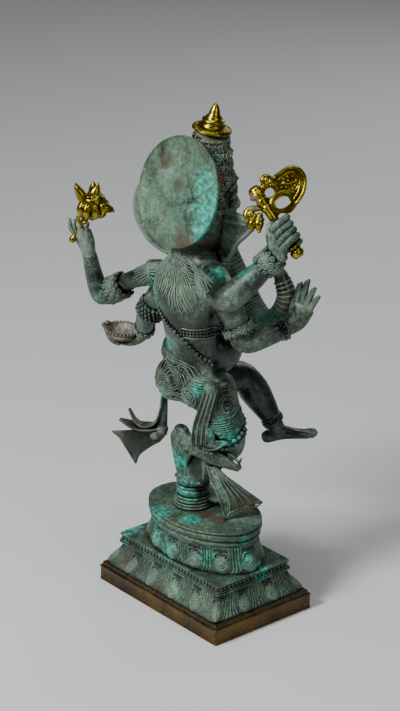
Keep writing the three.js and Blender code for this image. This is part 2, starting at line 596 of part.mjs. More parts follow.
function buildCap() {
  const { radius, height } = CAP;
  return turnedOnCrown([[0, -1.5], [radius * 0.75, -1.5], [radius, -0.6], [radius, 0.6], [radius * 0.86, 2.2],
    [radius * 0.62, 4], [radius * 0.5, 6.5], [radius * 0.56, 8.4], [radius * 0.4, 10.4], [radius * 0.32, 14.4],
    [radius * 0.2, 18.5], [radius * 0.1, height - 1], [0, height]]);
}

const capSeat = (extra) => turnedOnCrown([[0, -1.5 - extra], [CAP.radius + 1, -1.5 - extra], [CAP.radius + 1, 8], [0, 8]]);

const VERDIGRIS = { color: 0x7f9a8b, roughness: 0.72, metalness: 0.35 };
const GOLD = { color: 0xb8963c, roughness: 0.32, metalness: 0.95 };
const BRONZE = { color: 0x6b5320, roughness: 0.4, metalness: 0.9 };

function piece(name, manifold, finish) {
  const mesh = new THREE.Mesh(geometryOf(manifold), new THREE.MeshStandardMaterial(finish));
  mesh.name = name;
  return mesh;
}

const statue = new THREE.Group();
statue.add(
  piece('base_slab', buildSlab(), BRONZE),
  piece('lotus_plinth', buildPlinth(), VERDIGRIS),
  piece('figure', buildFigure(), VERDIGRIS),
  piece('halo_plate', buildHalo(), { ...VERDIGRIS, color: 0x8fa79b }),
  piece('crown_cap', buildCap(), GOLD),
  piece('axe', buildAxe(), GOLD),
  piece('goad', buildGoad(), GOLD),
  piece('bowl', buildBowl(), GOLD),
);

export default statue;
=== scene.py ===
import math
import random

import bmesh
import bpy
from mathutils import Matrix, Vector, noise
from mathutils.bvhtree import BVHTree


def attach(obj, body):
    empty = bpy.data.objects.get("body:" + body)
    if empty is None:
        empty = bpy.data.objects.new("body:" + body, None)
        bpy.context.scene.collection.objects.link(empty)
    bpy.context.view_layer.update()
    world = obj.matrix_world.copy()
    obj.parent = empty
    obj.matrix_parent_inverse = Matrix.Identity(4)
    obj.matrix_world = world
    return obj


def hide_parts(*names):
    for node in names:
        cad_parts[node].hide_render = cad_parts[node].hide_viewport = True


# Dancing elephant-headed bronze. The model's shapes are worked out in millimetres
# and scaled to metres when a piece is finished. The figure faces -Y and stands on its right leg.

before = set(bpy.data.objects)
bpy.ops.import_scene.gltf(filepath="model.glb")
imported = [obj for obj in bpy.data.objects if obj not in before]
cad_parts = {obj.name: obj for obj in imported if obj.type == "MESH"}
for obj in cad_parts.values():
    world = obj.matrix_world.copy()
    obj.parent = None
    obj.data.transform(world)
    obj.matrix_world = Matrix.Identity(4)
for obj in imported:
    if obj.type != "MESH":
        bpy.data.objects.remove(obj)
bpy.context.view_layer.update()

MM = 0.001
X = Vector((1, 0, 0))
Y = Vector((0, 1, 0))
Z = Vector((0, 0, 1))


# Materials

def linear(hex_colour):
    """The linear colour of an sRGB hex value."""
    def channel(value):
        return value / 12.92 if value <= 0.04045 else ((value + 0.055) / 1.055) ** 2.4
    return tuple(channel(int(hex_colour[i:i + 2], 16) / 255) for i in (0, 2, 4)) + (1,)


def add(tree, kind, settings=None, **inputs):
    """Adds a node, sets its properties, and sets or links its inputs by name."""
    node = tree.nodes.new(kind)
    for name, value in (settings or {}).items():
        setattr(node, name, value)
    for name, value in inputs.items():
        socket = node.inputs[int(name[1:])] if name[0] == "i" and name[1:].isdigit() else \
            node.inputs[name.replace("_", " ")]
        if isinstance(value, bpy.types.NodeSocket):
            tree.links.new(value, socket)
        else:
            socket.default_value = value
    return node


def ramp(tree, factor, *stops):
    """A colour ramp whose stops are (place, hex colour)."""
    node = add(tree, "ShaderNodeValToRGB", Fac=factor)
    elements = node.color_ramp.elements
    while len(elements) < len(stops):
        elements.new(0.5)
    for element, (place, colour) in zip(elements, stops):
        element.position = place
        element.color = linear(colour)
    return node.outputs["Color"]


def mottle(tree, place, size_mm, detail=4, rough=0.6, distortion=0.0):
    """Noise whose blotches are about size_mm across."""
    return add(tree, "ShaderNodeTexNoise", Vector=place, Scale=1 / (size_mm * MM * 1.6), Detail=detail,
               Roughness=rough, Distortion=distortion).outputs["Fac"]


def sharpen(tree, value, low, high):
    return add(tree, "ShaderNodeMapRange", {"clamp": True}, Value=value, From_Min=low, From_Max=high).outputs["Result"]


def maths(tree, operation, first, second):
    return add(tree, "ShaderNodeMath", {"operation": operation, "use_clamp": True}, i0=first, i1=second).outputs[0]


def mix(tree, factor, first, second):
    return add(tree, "ShaderNodeMix", {"data_type": "RGBA"}, i0=factor, i6=first, i7=second).outputs[2]


def mix_value(tree, factor, first, second):
    return add(tree, "ShaderNodeMix", {"data_type": "FLOAT"}, i0=factor, i2=first, i3=second).outputs[0]


def patch(tree, place, centre, radius, ragged):
    """A soft spot about a point of the object, in millimetres, with a ragged edge."""
    distance = add(tree, "ShaderNodeVectorMath", {"operation": "DISTANCE"}, i0=place,
                   i1=[value * MM for value in centre]).outputs["Value"]
    inside = add(tree, "ShaderNodeMapRange", {"clamp": True}, Value=distance, From_Min=radius * MM, From_Max=radius * 0.45 * MM)
    wavy = maths(tree, "MULTIPLY", ragged, 1.5)
    return maths(tree, "MULTIPLY", inside.outputs["Result"], wavy)


def patches(tree, place, spots, ragged):
    total = None
    for centre, radius in spots:
        one = patch(tree, place, centre, radius, ragged)
        total = one if total is None else maths(tree, "MAXIMUM", total, one)
    return total


def new_material(name):
    material = bpy.data.materials.new(name)
    material.use_nodes = True
    tree = material.node_tree
    tree.nodes.clear()
    shader = add(tree, "ShaderNodeBsdfPrincipled")
    output = add(tree, "ShaderNodeOutputMaterial", Surface=shader.outputs["BSDF"])
    output.location = (300, 0)
    return material, tree, shader


def verdigris_bronze(name, turquoise=(), brown=(), rubbed_and_shaded=(), carved=(), tones=("18211b", "3a4c3f", "5c7564", "8aa592"),
                     cover=0.5, grain=1.0, relief=False, hollow_shade=0.94):
    """Cast bronze under verdigris: green crust on the carving, bare dark bronze where it is smooth and handled, painted
    shade in its recesses and on shaded patches, and a painted highlight on high edges.
    """
    material, tree, shader = new_material(name)
    place = add(tree, "ShaderNodeTexCoord").outputs["Object"]
    broad = mottle(tree, place, 16, 5, 0.62, 0.5)
    close = mottle(tree, place, 2.6, 5, 0.7, 0.3)
    fine = mottle(tree, place, 0.9, 2, 0.6)
    both = mix_value(tree, 0.5, broad, close)
    tone = sharpen(tree, mix_value(tree, 0.3, both, fine), 0.36, 0.64)
    colour = ramp(tree, tone, (0.0, tones[0]), (0.35, tones[1]), (0.7, tones[2]), (1.0, tones[3]))
    # Olive and grey drifts in the green
    olive = sharpen(tree, mottle(tree, place, 9, 3, 0.6, 0.6), 0.48, 0.62)
    drift = ramp(tree, tone, (0.0, "16170f"), (0.4, "3a3f2f"), (0.75, "5f634b"), (1.0, "8b8d74"))
    colour = mix(tree, maths(tree, "MULTIPLY", olive, 0.6), colour, drift)
    # Fine curls of chasing, drawn as the contour lines of a smooth noise
    curls = add(tree, "ShaderNodeMath", {"operation": "SINE"}, i0=add(
        tree, "ShaderNodeMath", {"operation": "MULTIPLY"}, i0=mottle(tree, place, 6, 1, 0.3, 0.3), i1=75.0).outputs[0]).outputs[0]
    curls = sharpen(tree, curls, -0.9, 0.9)
    height = mix_value(tree, 0.5, close, mottle(tree, place, 0.9, 3, 0.7))
    if carved:
        strength = patches(tree, place, carved, sharpen(tree, broad, 0.0, 0.3))
        tooling = maths(tree, "MULTIPLY", strength, sharpen(tree, curls, 0.55, 0.0))
        colour = mix(tree, maths(tree, "MULTIPLY", tooling, 0.62), colour, linear("0e1410"))
        height = mix_value(tree, maths(tree, "MULTIPLY", strength, 0.75), height, curls)
    ragged = sharpen(tree, both, 0.4, 0.58)
    if brown:
        strength = patches(tree, place, brown, ragged)
        stain = ramp(tree, close, (0.3, "221d12"), (0.55, "463c28"), (0.7, "685d47"))
        colour = mix(tree, strength, colour, stain)
    if turquoise:
        strength = patches(tree, place, turquoise, ragged)
        stain = ramp(tree, close, (0.32, "0f5a50"), (0.5, "238a78"), (0.66, "58bca6"))
        colour = mix(tree, strength, colour, stain)
    # Bare dark bronze where the crust is thin; its near-black tone is partly its own and partly painted shade
    bare = sharpen(tree, broad, cover, cover - 0.16)
    if rubbed_and_shaded:
        polished_and_shaded = patches(tree, place, rubbed_and_shaded, sharpen(tree, broad, 0.15, 0.5))
        bare = maths(tree, "MAXIMUM", bare, polished_and_shaded)
    dark = ramp(tree, close, (0.3, "070b08"), (0.5, "111812"), (0.7, "263026"))
    colour = mix(tree, maths(tree, "MULTIPLY", bare, 0.88), colour, dark)
    if relief:
        # Painted shade between the lotus petals where the relief is low, and a painted highlight on the swollen lobes
        # where it is high
        raised = add(tree, "ShaderNodeAttribute", {"attribute_name": "relief"}).outputs["Fac"]
        colour = mix(tree, maths(tree, "MULTIPLY", sharpen(tree, raised, 0.95, 0.1), 0.85), colour, linear("10150f"))
        colour = mix(tree, maths(tree, "MULTIPLY", sharpen(tree, raised, 0.8, 3.6), 0.22), colour, linear("8fb09a"))
    # High edges are lightened, partly as wear and partly as a painted highlight
    edge = add(tree, "ShaderNodeAmbientOcclusion", {"samples": 6, "inside": True}, Distance=0.0014).outputs["AO"]
    worn = maths(tree, "MULTIPLY", sharpen(tree, edge, 0.55, 0.2), 0.42)
    colour = mix(tree, worn, colour, linear("849c88"))
    # Painted shade: recesses that the occlusion node finds are darkened to near black
    hollow = add(tree, "ShaderNodeAmbientOcclusion", {"samples": 8}, Distance=0.005).outputs["AO"]
    painted_hollow_shade = sharpen(tree, hollow, 0.82, 0.35)
    colour = mix(tree, maths(tree, "MULTIPLY", painted_hollow_shade, hollow_shade), colour, linear("070a08"))
    tree.links.new(colour, shader.inputs["Base Color"])
    tree.links.new(mix_value(tree, bare, 0.6, 0.27), shader.inputs["Roughness"])
    tree.links.new(mix_value(tree, bare, 0.1, 0.3), shader.inputs["Metallic"])
    bump = add(tree, "ShaderNodeBump", Distance=0.0009 * grain, Height=height)
    tree.links.new(mix_value(tree, bare, 0.8, 0.12), bump.inputs["Strength"])
    tree.links.new(bump.outputs["Normal"], shader.inputs["Normal"])
    return material


def gilt_bronze(name, grey=(), tones=("3f330c", "84731d", "c9b750")):
    """Polished golden bronze: mirror-bright rounds, dark tones that partly stand for the dark room it reflects, painted
    shade in its recesses, and grey where it has dulled.
    """
    material, tree, shader = new_material(name)
    place = add(tree, "ShaderNodeTexCoord").outputs["Object"]
    broad = mottle(tree, place, 7, 4)
    close = mottle(tree, place, 1.2, 3)
    # Painted reflection: the tones are kept dark partly to stand for the dark room the polished gold reflects
    colour = ramp(tree, mix_value(tree, 0.4, broad, close), (0.3, tones[0]), (0.5, tones[1]), (0.68, tones[2]))
    rough = mix_value(tree, close, 0.16, 0.36)
    metal = 1.0
    if grey:
        strength = patches(tree, place, grey, sharpen(tree, broad, 0.3, 0.5))
        colour = mix(tree, strength, colour, ramp(tree, close, (0.35, "4d4a44"), (0.6, "85817a")))
        rough = mix_value(tree, strength, rough, 0.6)
        metal = mix_value(tree, strength, 1.0, 0.3)
    # Painted shade: recesses that the occlusion node finds are darkened to dark brown
    hollow = add(tree, "ShaderNodeAmbientOcclusion", {"samples": 8}, Distance=0.004).outputs["AO"]
    colour = mix(tree, maths(tree, "MULTIPLY", sharpen(tree, hollow, 0.8, 0.35), 0.94), colour, linear("120d05"))
    tree.links.new(colour, shader.inputs["Base Color"])
    tree.links.new(rough, shader.inputs["Roughness"])
    if grey:
        tree.links.new(metal, shader.inputs["Metallic"])
    else:
        shader.inputs["Metallic"].default_value = metal
    bump = add(tree, "ShaderNodeBump", Strength=0.12, Distance=0.0003, Height=close)
    tree.links.new(bump.outputs["Normal"], shader.inputs["Normal"])
    return material


# Shapes

def spline(stations, per_span):
    """A smooth line through the stations. Every number of a station is smoothed alike."""
    first = [2 * a - b for a, b in zip(stations[0], stations[1])]
    last = [2 * a - b for a, b in zip(stations[-1], stations[-2])]
    row = [first, *stations, last]
    line = []
    for i in range(len(stations) - 1):
        a, b, c, d = row[i:i + 4]
        for k in range(per_span):
            t = k / per_span
            line.append([0.5 * (2 * q + (r - p) * t + (2 * p - 5 * q + 4 * r - s) * t * t + (3 * q - p - 3 * r + s) * t ** 3)
                         for p, q, r, s in zip(a, b, c, d)])
    return line + [list(stations[-1])]


def ring_of(bm, matrix, segments, closed):
    made = bmesh.ops.create_circle(bm, cap_ends=closed, segments=segments, radius=1, matrix=matrix)["verts"]
    inside = set(made)
    return {edge for vert in made for edge in vert.link_edges if edge.other_vert(vert) in inside}


def bridged(matrices, segments, closed=True):
    """A skin over a row of unit circles, each placed by its matrix."""
    bm = bmesh.new()
    before = None
    for i, matrix in enumerate(matrices):
        ring = ring_of(bm, matrix, segments, closed and i in (0, len(matrices) - 1))
        if before:
            bmesh.ops.bridge_loops(bm, edges=list(before | ring))
        before = ring
    bmesh.ops.recalc_face_normals(bm, faces=bm.faces)
    return bm


def limb(stations, side=X, segments=20, per_span=4, domed=True):
    """A rounded limb through stations of [x, y, z, half width] or [x, y, z, half width, half depth]."""
    stations = [list(s) if len(s) == 5 else [*s, s[3]] for s in stations]
    line = spline(stations, per_span)
    points = [Vector(row[:3]) for row in line]
    count = len(points)
    tangents = [(points[min(i + 1, count - 1)] - points[max(i - 1, 0)]).normalized() for i in range(count)]
    rows = [(points[i], tangents[i], line[i][3], line[i][4]) for i in range(count)]
    if domed:
        def cap(index, sign):
            point, along, wide, deep = rows[index]
            reach = min(wide, deep) * sign
            return [(point + along * reach * rise, along, wide * size, deep * size)
                    for rise, size in ((0.35, 0.93), (0.65, 0.74), (0.88, 0.42))]
        rows = cap(0, -1)[::-1] + rows + cap(-1, 1)
    matrices = []
    for point, along, wide, deep in rows:
        across = (side - along * side.dot(along)).normalized()
        up = along.cross(across)
        matrices.append(Matrix.Translation(point) @ Matrix((across * wide, up * deep, along)).transposed().to_4x4())
    return bridged(matrices, segments)


def strand(points, radius, sides=6, taper=0.5, per_span=1):
    """A thin cord through points, thinner at its ends."""
    count = len(points)
    stations = [[*point, radius * (1 if 0 < i < count - 1 else taper)] for i, point in enumerate(points)]
    return limb(stations, side=Vector((0.31, 0.52, 0.8)), segments=sides, per_span=per_span, domed=False)


def ball(centre, radii, turn=None, fine=16):
    bm = bmesh.new()
    size = Matrix.Diagonal((*radii, 1))
    bmesh.ops.create_uvsphere(bm, u_segments=fine, v_segments=max(6, fine * 5 // 8), radius=1,
                              matrix=Matrix.Translation(centre) @ (turn.to_4x4() if turn else Matrix()) @ size)
    return bm


def bead(centre, radius, fine=1):
    bm = bmesh.new()
    bmesh.ops.create_icosphere(bm, subdivisions=fine, radius=radius, matrix=Matrix.Translation(centre))
    return bm


def towards(direction):
    """The turn that takes +Z to a direction."""
    return Z.rotation_difference(Vector(direction).normalized()).to_matrix()


def bangle(centre, along, radius, thickness, height=1.0, segments=40, sides=8, oval=1.0):
    """A ring of round or tall section about a line."""
    bm = bmesh.new()
    start = Matrix.Translation((radius, 0, 0)) @ Matrix.Rotation(math.pi / 2, 4, "X") @ Matrix.Diagonal((1, height, 1, 1))
    bmesh.ops.create_circle(bm, segments=sides, radius=thickness, matrix=start)
    bmesh.ops.spin(bm, geom=bm.edges[:] + bm.verts[:], cent=(0, 0, 0), axis=(0, 0, 1), angle=2 * math.pi,
                   steps=segments, use_merge=True)
    bmesh.ops.recalc_face_normals(bm, faces=bm.faces)
    place = Matrix.Translation(centre) @ towards(along).to_4x4() @ Matrix.Diagonal((1, oval, 1, 1))
    bmesh.ops.transform(bm, matrix=place, verts=bm.verts)
    return bm


def turned(profile, segments=64, centre=(0, 0, 0), along=(0, 0, 1), oval=1.0):
    """A profile of (radius, height) turned about a line. It starts and ends on the line."""
    bm = bmesh.new()
    verts = [bm.verts.new((r, 0, z)) for r, z in profile]
    for a, b in zip(verts, verts[1:]):
        bm.edges.new((a, b))
    bmesh.ops.spin(bm, geom=bm.edges[:] + bm.verts[:], cent=(0, 0, 0), axis=(0, 0, 1), angle=2 * math.pi,
                   steps=segments, use_merge=True)
    bmesh.ops.remove_doubles(bm, verts=bm.verts, dist=0.0005)
    bmesh.ops.recalc_face_normals(bm, faces=bm.faces)
    place = Matrix.Translation(centre) @ towards(along).to_4x4() @ Matrix.Diagonal((1, oval, 1, 1))
    bmesh.ops.transform(bm, matrix=place, verts=bm.verts)
    return bm


def plate(outline, thickness, place, bevel=0.6, holes=()):
    """A flat plate cut to an outline with holes, its edges rounded, moved by a matrix."""
    curve = bpy.data.curves.new("cut", "CURVE")
    curve.dimensions = "2D"
    curve.fill_mode = "BOTH"
    curve.extrude = thickness / 2 - bevel
    curve.bevel_depth = bevel
    curve.bevel_resolution = 2
    for loop in (outline, *holes):
        line = curve.splines.new("POLY")
        line.points.add(len(loop) - 1)
        for point, (u, v) in zip(line.points, loop):
            point.co = (u, v, 0, 1)
        line.use_cyclic_u = True
    holder = bpy.data.objects.new("cut", curve)
    bpy.context.scene.collection.objects.link(holder)
    flat = bpy.data.meshes.new_from_object(holder.evaluated_get(bpy.context.evaluated_depsgraph_get()))
    bm = bmesh.new()
    bm.from_mesh(flat)
    bmesh.ops.remove_doubles(bm, verts=bm.verts, dist=0.001)
    bmesh.ops.transform(bm, matrix=place, verts=bm.verts)
    bmesh.ops.recalc_face_normals(bm, faces=bm.faces)
    bpy.data.objects.remove(holder)
    bpy.data.curves.remove(curve)
    bpy.data.meshes.remove(flat)
    return bm


def smooth_loop(points, per_span=5):
    """A smooth closed line through flat points."""
    count = len(points)
    loop = []
    for i in range(count):
        a, b, c, d = (points[(i + k - 1) % count] for k in range(4))
        for k in range(per_span):
            t = k / per_span
            loop.append([0.5 * (2 * q + (r - p) * t + (2 * p - 5 * q + 4 * r - s) * t * t + (3 * q - p - 3 * r + s) * t ** 3)
                         for p, q, r, s in zip(a, b, c, d)])
    return loop


def join(*shapes):
    """One mesh of several shapes, or of lists of them."""
    whole = bmesh.new()
    for shape in shapes:
        if isinstance(shape, (list, tuple)):
            shape = join(*shape)
        mesh = bpy.data.meshes.new("part")
        shape.to_mesh(mesh)
        shape.free()
        whole.from_mesh(mesh)
        bpy.data.meshes.remove(mesh)
    return whole


def between(a, b, t):
    return [p + (q - p) * t for p, q in zip(a, b)]


def shifted(point, by):
    return [p + q for p, q in zip(point, by)]


def cast_as_one(shape, voxel, rounds=4):
    """Melts overlapping shapes into one skin, as wax parts are joined before casting."""
    mesh = bpy.data.meshes.new("wax")
    shape.to_mesh(mesh)
    shape.free()
    holder = bpy.data.objects.new("wax", mesh)
    bpy.context.scene.collection.objects.link(holder)
    melt = holder.modifiers.new("melt", "REMESH")
    melt.mode = "VOXEL"
    melt.voxel_size = voxel * 1
    soften = holder.modifiers.new("soften", "SMOOTH")
    soften.factor = 0.5
    soften.iterations = rounds
    skin = bpy.data.meshes.new_from_object(holder.evaluated_get(bpy.context.evaluated_depsgraph_get()))
    bm = bmesh.new()
    bm.from_mesh(skin)
    bpy.data.objects.remove(holder)
    bpy.data.meshes.remove(mesh)
    bpy.data.meshes.remove(skin)
    return bm


def finished(name, shape, material, slot, *nodes, sharp=None):
    """The finished piece: scaled to metres, shaded, riding on the statue and standing for its nodes."""
    bmesh.ops.scale(shape, vec=(MM, MM, MM), verts=shape.verts)
    for face in shape.faces:
        face.smooth = True
    mesh = bpy.data.meshes.new(name)
    shape.to_mesh(mesh)
    shape.free()
    if sharp:
        mesh.set_sharp_from_angle(angle=math.radians(sharp))
    piece = bpy.data.objects.new(name, mesh)
    bpy.context.scene.collection.objects.link(piece)
    mesh.materials.append(material)
    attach(piece, "root")
    if nodes:
        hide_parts(*nodes)
    return piece


# Joints of the figure, in millimetres

PELVIS = (6, 3, 205)
HIP_RIGHT = (-15, 2, 200)
KNEE_RIGHT = (-19, -12, 149)
ANKLE_RIGHT = (11.5, 3.5, 99)
HEEL_RIGHT = (15, 9, 90.2)
TOES_RIGHT = (-16, -25, 89)
HIP_LEFT = (21, 5, 201)
KNEE_LEFT = (7, -50, 191)
ANKLE_LEFT = (-13, -69, 149)
HEEL_LEFT = (-9, -64, 135.5)
TOES_LEFT = (-35, -98, 138)
NECK = (8, 9, 318)
HEAD = (6, -6, 348)
FACE_TURN = math.pi / 10
TRUNK_ROOT = (17, -34, 338)
SHOULDER_REAR_RIGHT = (-25, 12, 307)
ELBOW_REAR_RIGHT = (-64, 28, 303)
WRIST_REAR_RIGHT = (-89, 4, 337)
FIST_RIGHT = (-92, -6, 358)
SHOULDER_REAR_LEFT = (42, 14, 293)
ELBOW_REAR_LEFT = (96, 35, 262)
WRIST_REAR_LEFT = (96, 47, 304)
FIST_LEFT = (98, 53, 323)
SHOULDER_FRONT_RIGHT = (-22, 0, 292)
ELBOW_FRONT_RIGHT = (-40, -11, 248)
WRIST_FRONT_RIGHT = (-56, -44, 256)
SHOULDER_FRONT_LEFT = (40, 3, 287)
ELBOW_FRONT_LEFT = (67, 8, 243)
WRIST_FRONT_LEFT = (82, -1, 223)
AXE_TOP = (-64, 1, 391)
AXE_POMMEL = (-102.5, -12.6, 344)
GOAD_HEAD = (90, 43, 352)
GOAD_BUTT = (101, 60, 316)
HALO_CENTRE = Vector((5.5, 21.5, 374.5))
HALO_RADIUS = 46.4
HALO_FACING = Vector((-0.056, 0.961, 0.27)).normalized()
CAP_FOOT = (-3, -7, 424.6)
CAP_LEAN = (-0.13, -0.1, 1)
BOWL_CENTRE = (104, 6, 220.5)


def on_face(forward, aside, rise):
    sine = math.sin(FACE_TURN)
    cosine = math.cos(FACE_TURN)
    return shifted(HEAD, (forward * sine + aside * cosine, aside * sine - forward * cosine, rise))


# Body

def foot(ankle, heel, toes):
    """Heel, arch and ball of a foot with five toes."""
    heel_point, toe_point = Vector(heel), Vector(toes)
    along = (toe_point - heel_point).normalized()
    aside = along.cross(Z).normalized()
    parts = [
        limb([[*heel, 6, 5.4], [*shifted(between(heel, toes, 0.3), (0, 0, 3)), 6.6, 6.4],
              [*shifted(between(heel, toes, 0.6), (0, 0, 1)), 7.6, 4.4], [*between(heel, toes, 0.82), 8.2, 3.4]]),
        limb([[*ankle, 7.5], [*shifted(between(heel, toes, 0.25), (0, 0, 3)), 6.5]]),
    ]
    for i in range(5):
        root = heel_point.lerp(toe_point, 0.8) + aside * (3.2 * (i - 2))
        tip = heel_point.lerp(toe_point, 1.02 - 0.012 * abs(i - 1.4) ** 2) + aside * (3.4 * (i - 2))
        parts.append(limb([[*root, 2.2], [*root.lerp(tip, 0.6) + Z * 0.7, 2.0], [*tip, 1.7]], segments=10, per_span=3))
    return parts


def build_body():
    torso = limb([[*PELVIS, 29, 22], [10, 5, 223, 29, 21], [8.5, 5, 238, 26, 19.5], [9, 9, 262, 27, 20], [8, 12, 286, 34, 20],
                  [6, 12, 303, 32, 15], [*NECK, 17, 14]], segments=36, per_span=6)
    # The slope from the neck to the right shoulder, and the flesh between the right arms and the ribs
    slopes = [limb([[5, 8, 321, 13], [-10, 9, 313, 13], [-24, 11, 304, 12]], segments=20), ball((-15, -2, 268), (9, 9, 13)),
              ball((-36, -26, 254), (5, 5, 5))]
    belly = ball((5, -15, 230), (26, 25, 25), fine=32)
    chest = [ball((-8, -4, 292), (15, 11, 12)), ball((24, -3, 290), (15, 11, 12))]
    buttocks = [ball((21.5, 9.5, 201.5), (21.5, 20, 20.5), fine=28), ball((-10, 9, 202), (19, 18, 20), fine=28)]
    right_leg = limb([[*HIP_RIGHT, 20], [-20, -3, 176, 18, 17], [*KNEE_RIGHT, 14.5], [-11, -7, 138, 13], [1, 0, 124, 14],
                      [8, 3, 109, 11], [*ANKLE_RIGHT, 8.5]], segments=28, per_span=5)
    left_leg = limb([[*HIP_LEFT, 20, 19], [17, -22, 197, 18, 17], [*between(HIP_LEFT, KNEE_LEFT, 0.8), 15], [*KNEE_LEFT, 12.5],
                     [2, -58, 178, 13.5], [-6, -64, 163, 11], [*ANKLE_LEFT, 7.5]], segments=28, per_span=5)
    arms = [
        limb([[*SHOULDER_REAR_RIGHT, 14], [-46, 21, 306, 12.5], [*ELBOW_REAR_RIGHT, 11.5], [-77, 16, 319, 10.5],
              [*WRIST_REAR_RIGHT, 7.5], [*FIST_RIGHT, 7]], side=Z, segments=24, per_span=5),
        limb([[*SHOULDER_REAR_LEFT, 11], [70, 24, 279, 7.5], [88, 32, 266, 9], [*ELBOW_REAR_LEFT, 8.5],
              [97, 41, 281, 7.6], [*WRIST_REAR_LEFT, 6], [*FIST_LEFT, 5]], side=Y, segments=20, per_span=5),
        limb([[*SHOULDER_FRONT_RIGHT, 13], [-33, -6, 268, 11], [*ELBOW_FRONT_RIGHT, 9.5], [-49, -28, 251, 8.5],
              [*WRIST_FRONT_RIGHT, 6.5]], side=Z, segments=20, per_span=5),
        limb([[*SHOULDER_FRONT_LEFT, 12], [55, 6, 264, 10], [*ELBOW_FRONT_LEFT, 9], [*WRIST_FRONT_LEFT, 6.5]],
             side=Z, segments=20, per_span=5),
    ]
    return [torso, slopes, belly, chest, buttocks, right_leg, left_leg, arms,
            foot(ANKLE_RIGHT, HEEL_RIGHT, TOES_RIGHT), foot(ANKLE_LEFT, HEEL_LEFT, TOES_LEFT)]


def build_head():
    skull = limb([[8, -3, 322, 17], [7, -6, 340, 26], [5, -6, 356, 27, 26], [4, -6, 368, 24, 23]], segments=32)
    brow = [ball(on_face(17, -8, 6), (12, 12, 13)), ball(on_face(17, 8, 6), (12, 12, 13))]
    cheeks = [ball(on_face(16, side * 12, -13), (10, 11, 11)) for side in (-1, 1)]
    mouth = limb([[*on_face(14, 0, -22), 10, 7], [*on_face(24, 0, -30), 5, 4]], segments=16)
    trunk = limb([[*on_face(15, 0, -6), 15, 13], [*TRUNK_ROOT, 12], [21, -39, 324, 10.5], [22, -41, 309, 10.5],
                  [17, -46, 291, 10.5], [6, -50, 272, 10.5], [-4, -52, 257, 10.5], [-18, -53, 249, 10.5],
                  [-33, -55, 257, 10], [-42, -56, 277, 8.8], [-38, -53, 295, 6.4], [-34, -52, 301, 5]],
                 side=Vector((0, 1, 0.2)), segments=24, per_span=5)
    tusks = [limb([[*on_face(20, 10 * side, -16), 4.2], [*on_face(31, 13 * side, -20), 3.4], [*on_face(40, 14 * side, -20), 1.6]],
                  segments=14) for side in (-1, 1)]
    return [skull, brow, cheeks, mouth, trunk, tusks]


def ear(outline, outward, thickness):
    """An ear: a rippled leaf-shaped plate with a rolled edge and ribs."""
    across = Vector(outward).normalized()
    up = (Z - across * across.z).normalized()
    face = across.cross(up)
    place = Matrix.Translation(HEAD) @ Matrix((across, up, face)).transposed().to_4x4()
    loop = smooth_loop(outline)
    rim = [place @ Vector((u, v, 0)) for u, v in loop[:-10]]
    ribs = []
    for k in (1, 3, 5):
        end = outline[k]
        line = [(between((12, 2), end, t)[0], between((12, 2), end, t)[1], thickness * 0.55) for t in (0.15, 0.4, 0.65, 0.88)]
        for flip in (1, -1):
            ribs.append(strand([place @ Vector((u, v, w * flip * 0.6)) for u, v, w in line], 1.5, per_span=2))
    return [plate(loop, thickness, place, bevel=1.2), strand(rim, 2.1, taper=0.7), ribs]


def build_ears():
    right = [(16, 12), (34, 12), (50, 12), (63, 8), (56, -1), (44, -12), (35, -26), (25, -33), (16, -26), (12, 0)]
    left = [(16, 22), (34, 25), (52, 24), (60, 12), (61, -4), (55, -19), (44, -31), (30, -36), (18, -26), (12, 0)]
    # The lumpy pendant under the right ear
    pendant = [ball((-20, -6, 317), (4.6, 4.6, 5)), ball((-22, -5, 311), (4, 4, 3.6)), ball((-16.6, -4.6, 322), (3.4, 3.4, 3.4)),
               bangle((-20, -6, 314), (0, 0, 1), 4, 1.2, segments=16)]
    return [ear(right, (-1, 0.02, 0), 3.4), ear(left, (0.86, 0.5, 0), 3.4), pendant]


# Hands

def build_open_hand():
    """The front right hand, raised with its fingers fanned."""
    palm = limb([[*WRIST_FRONT_RIGHT, 6.4, 5], [-60, -51, 263, 9, 5], [-63, -56, 274, 10, 4]], side=Vector((-0.8, -0.3, -0.25)))
    fingers = []
    for root, tip in (((-57, -54, 275), (-60, -56, 295)), ((-61, -56, 277), (-67, -58, 299)), ((-65, -57, 275.6), (-72.6, -60, 293)),
                      ((-68, -58, 272), (-75.4, -62, 286))):
        for aside in (0, 1):
            lean = (aside * 1.6, aside * 1.4, -aside * 1.2)
            bend = shifted(between(root, tip, 0.55), (0.9, -0.9, 0.4))
            fingers.append(limb([[*shifted(root, lean), 2.5], [*shifted(bend, lean), 2.3], [*shifted(tip, lean), 1.5]], segments=12, per_span=4))
    thumb = limb([[-55, -50, 263, 3.4], [-51, -54, 272, 2.8], [-51, -57, 281, 1.8]], segments=12)
    creases = [strand([(-58 - 3 * k, -50 - 2 * k, 262 + k), (-60 - 3 * k, -53 - 2 * k, 270 + k)], 0.8, per_span=3) for k in range(3)]
    return [palm, fingers, thumb, creases]


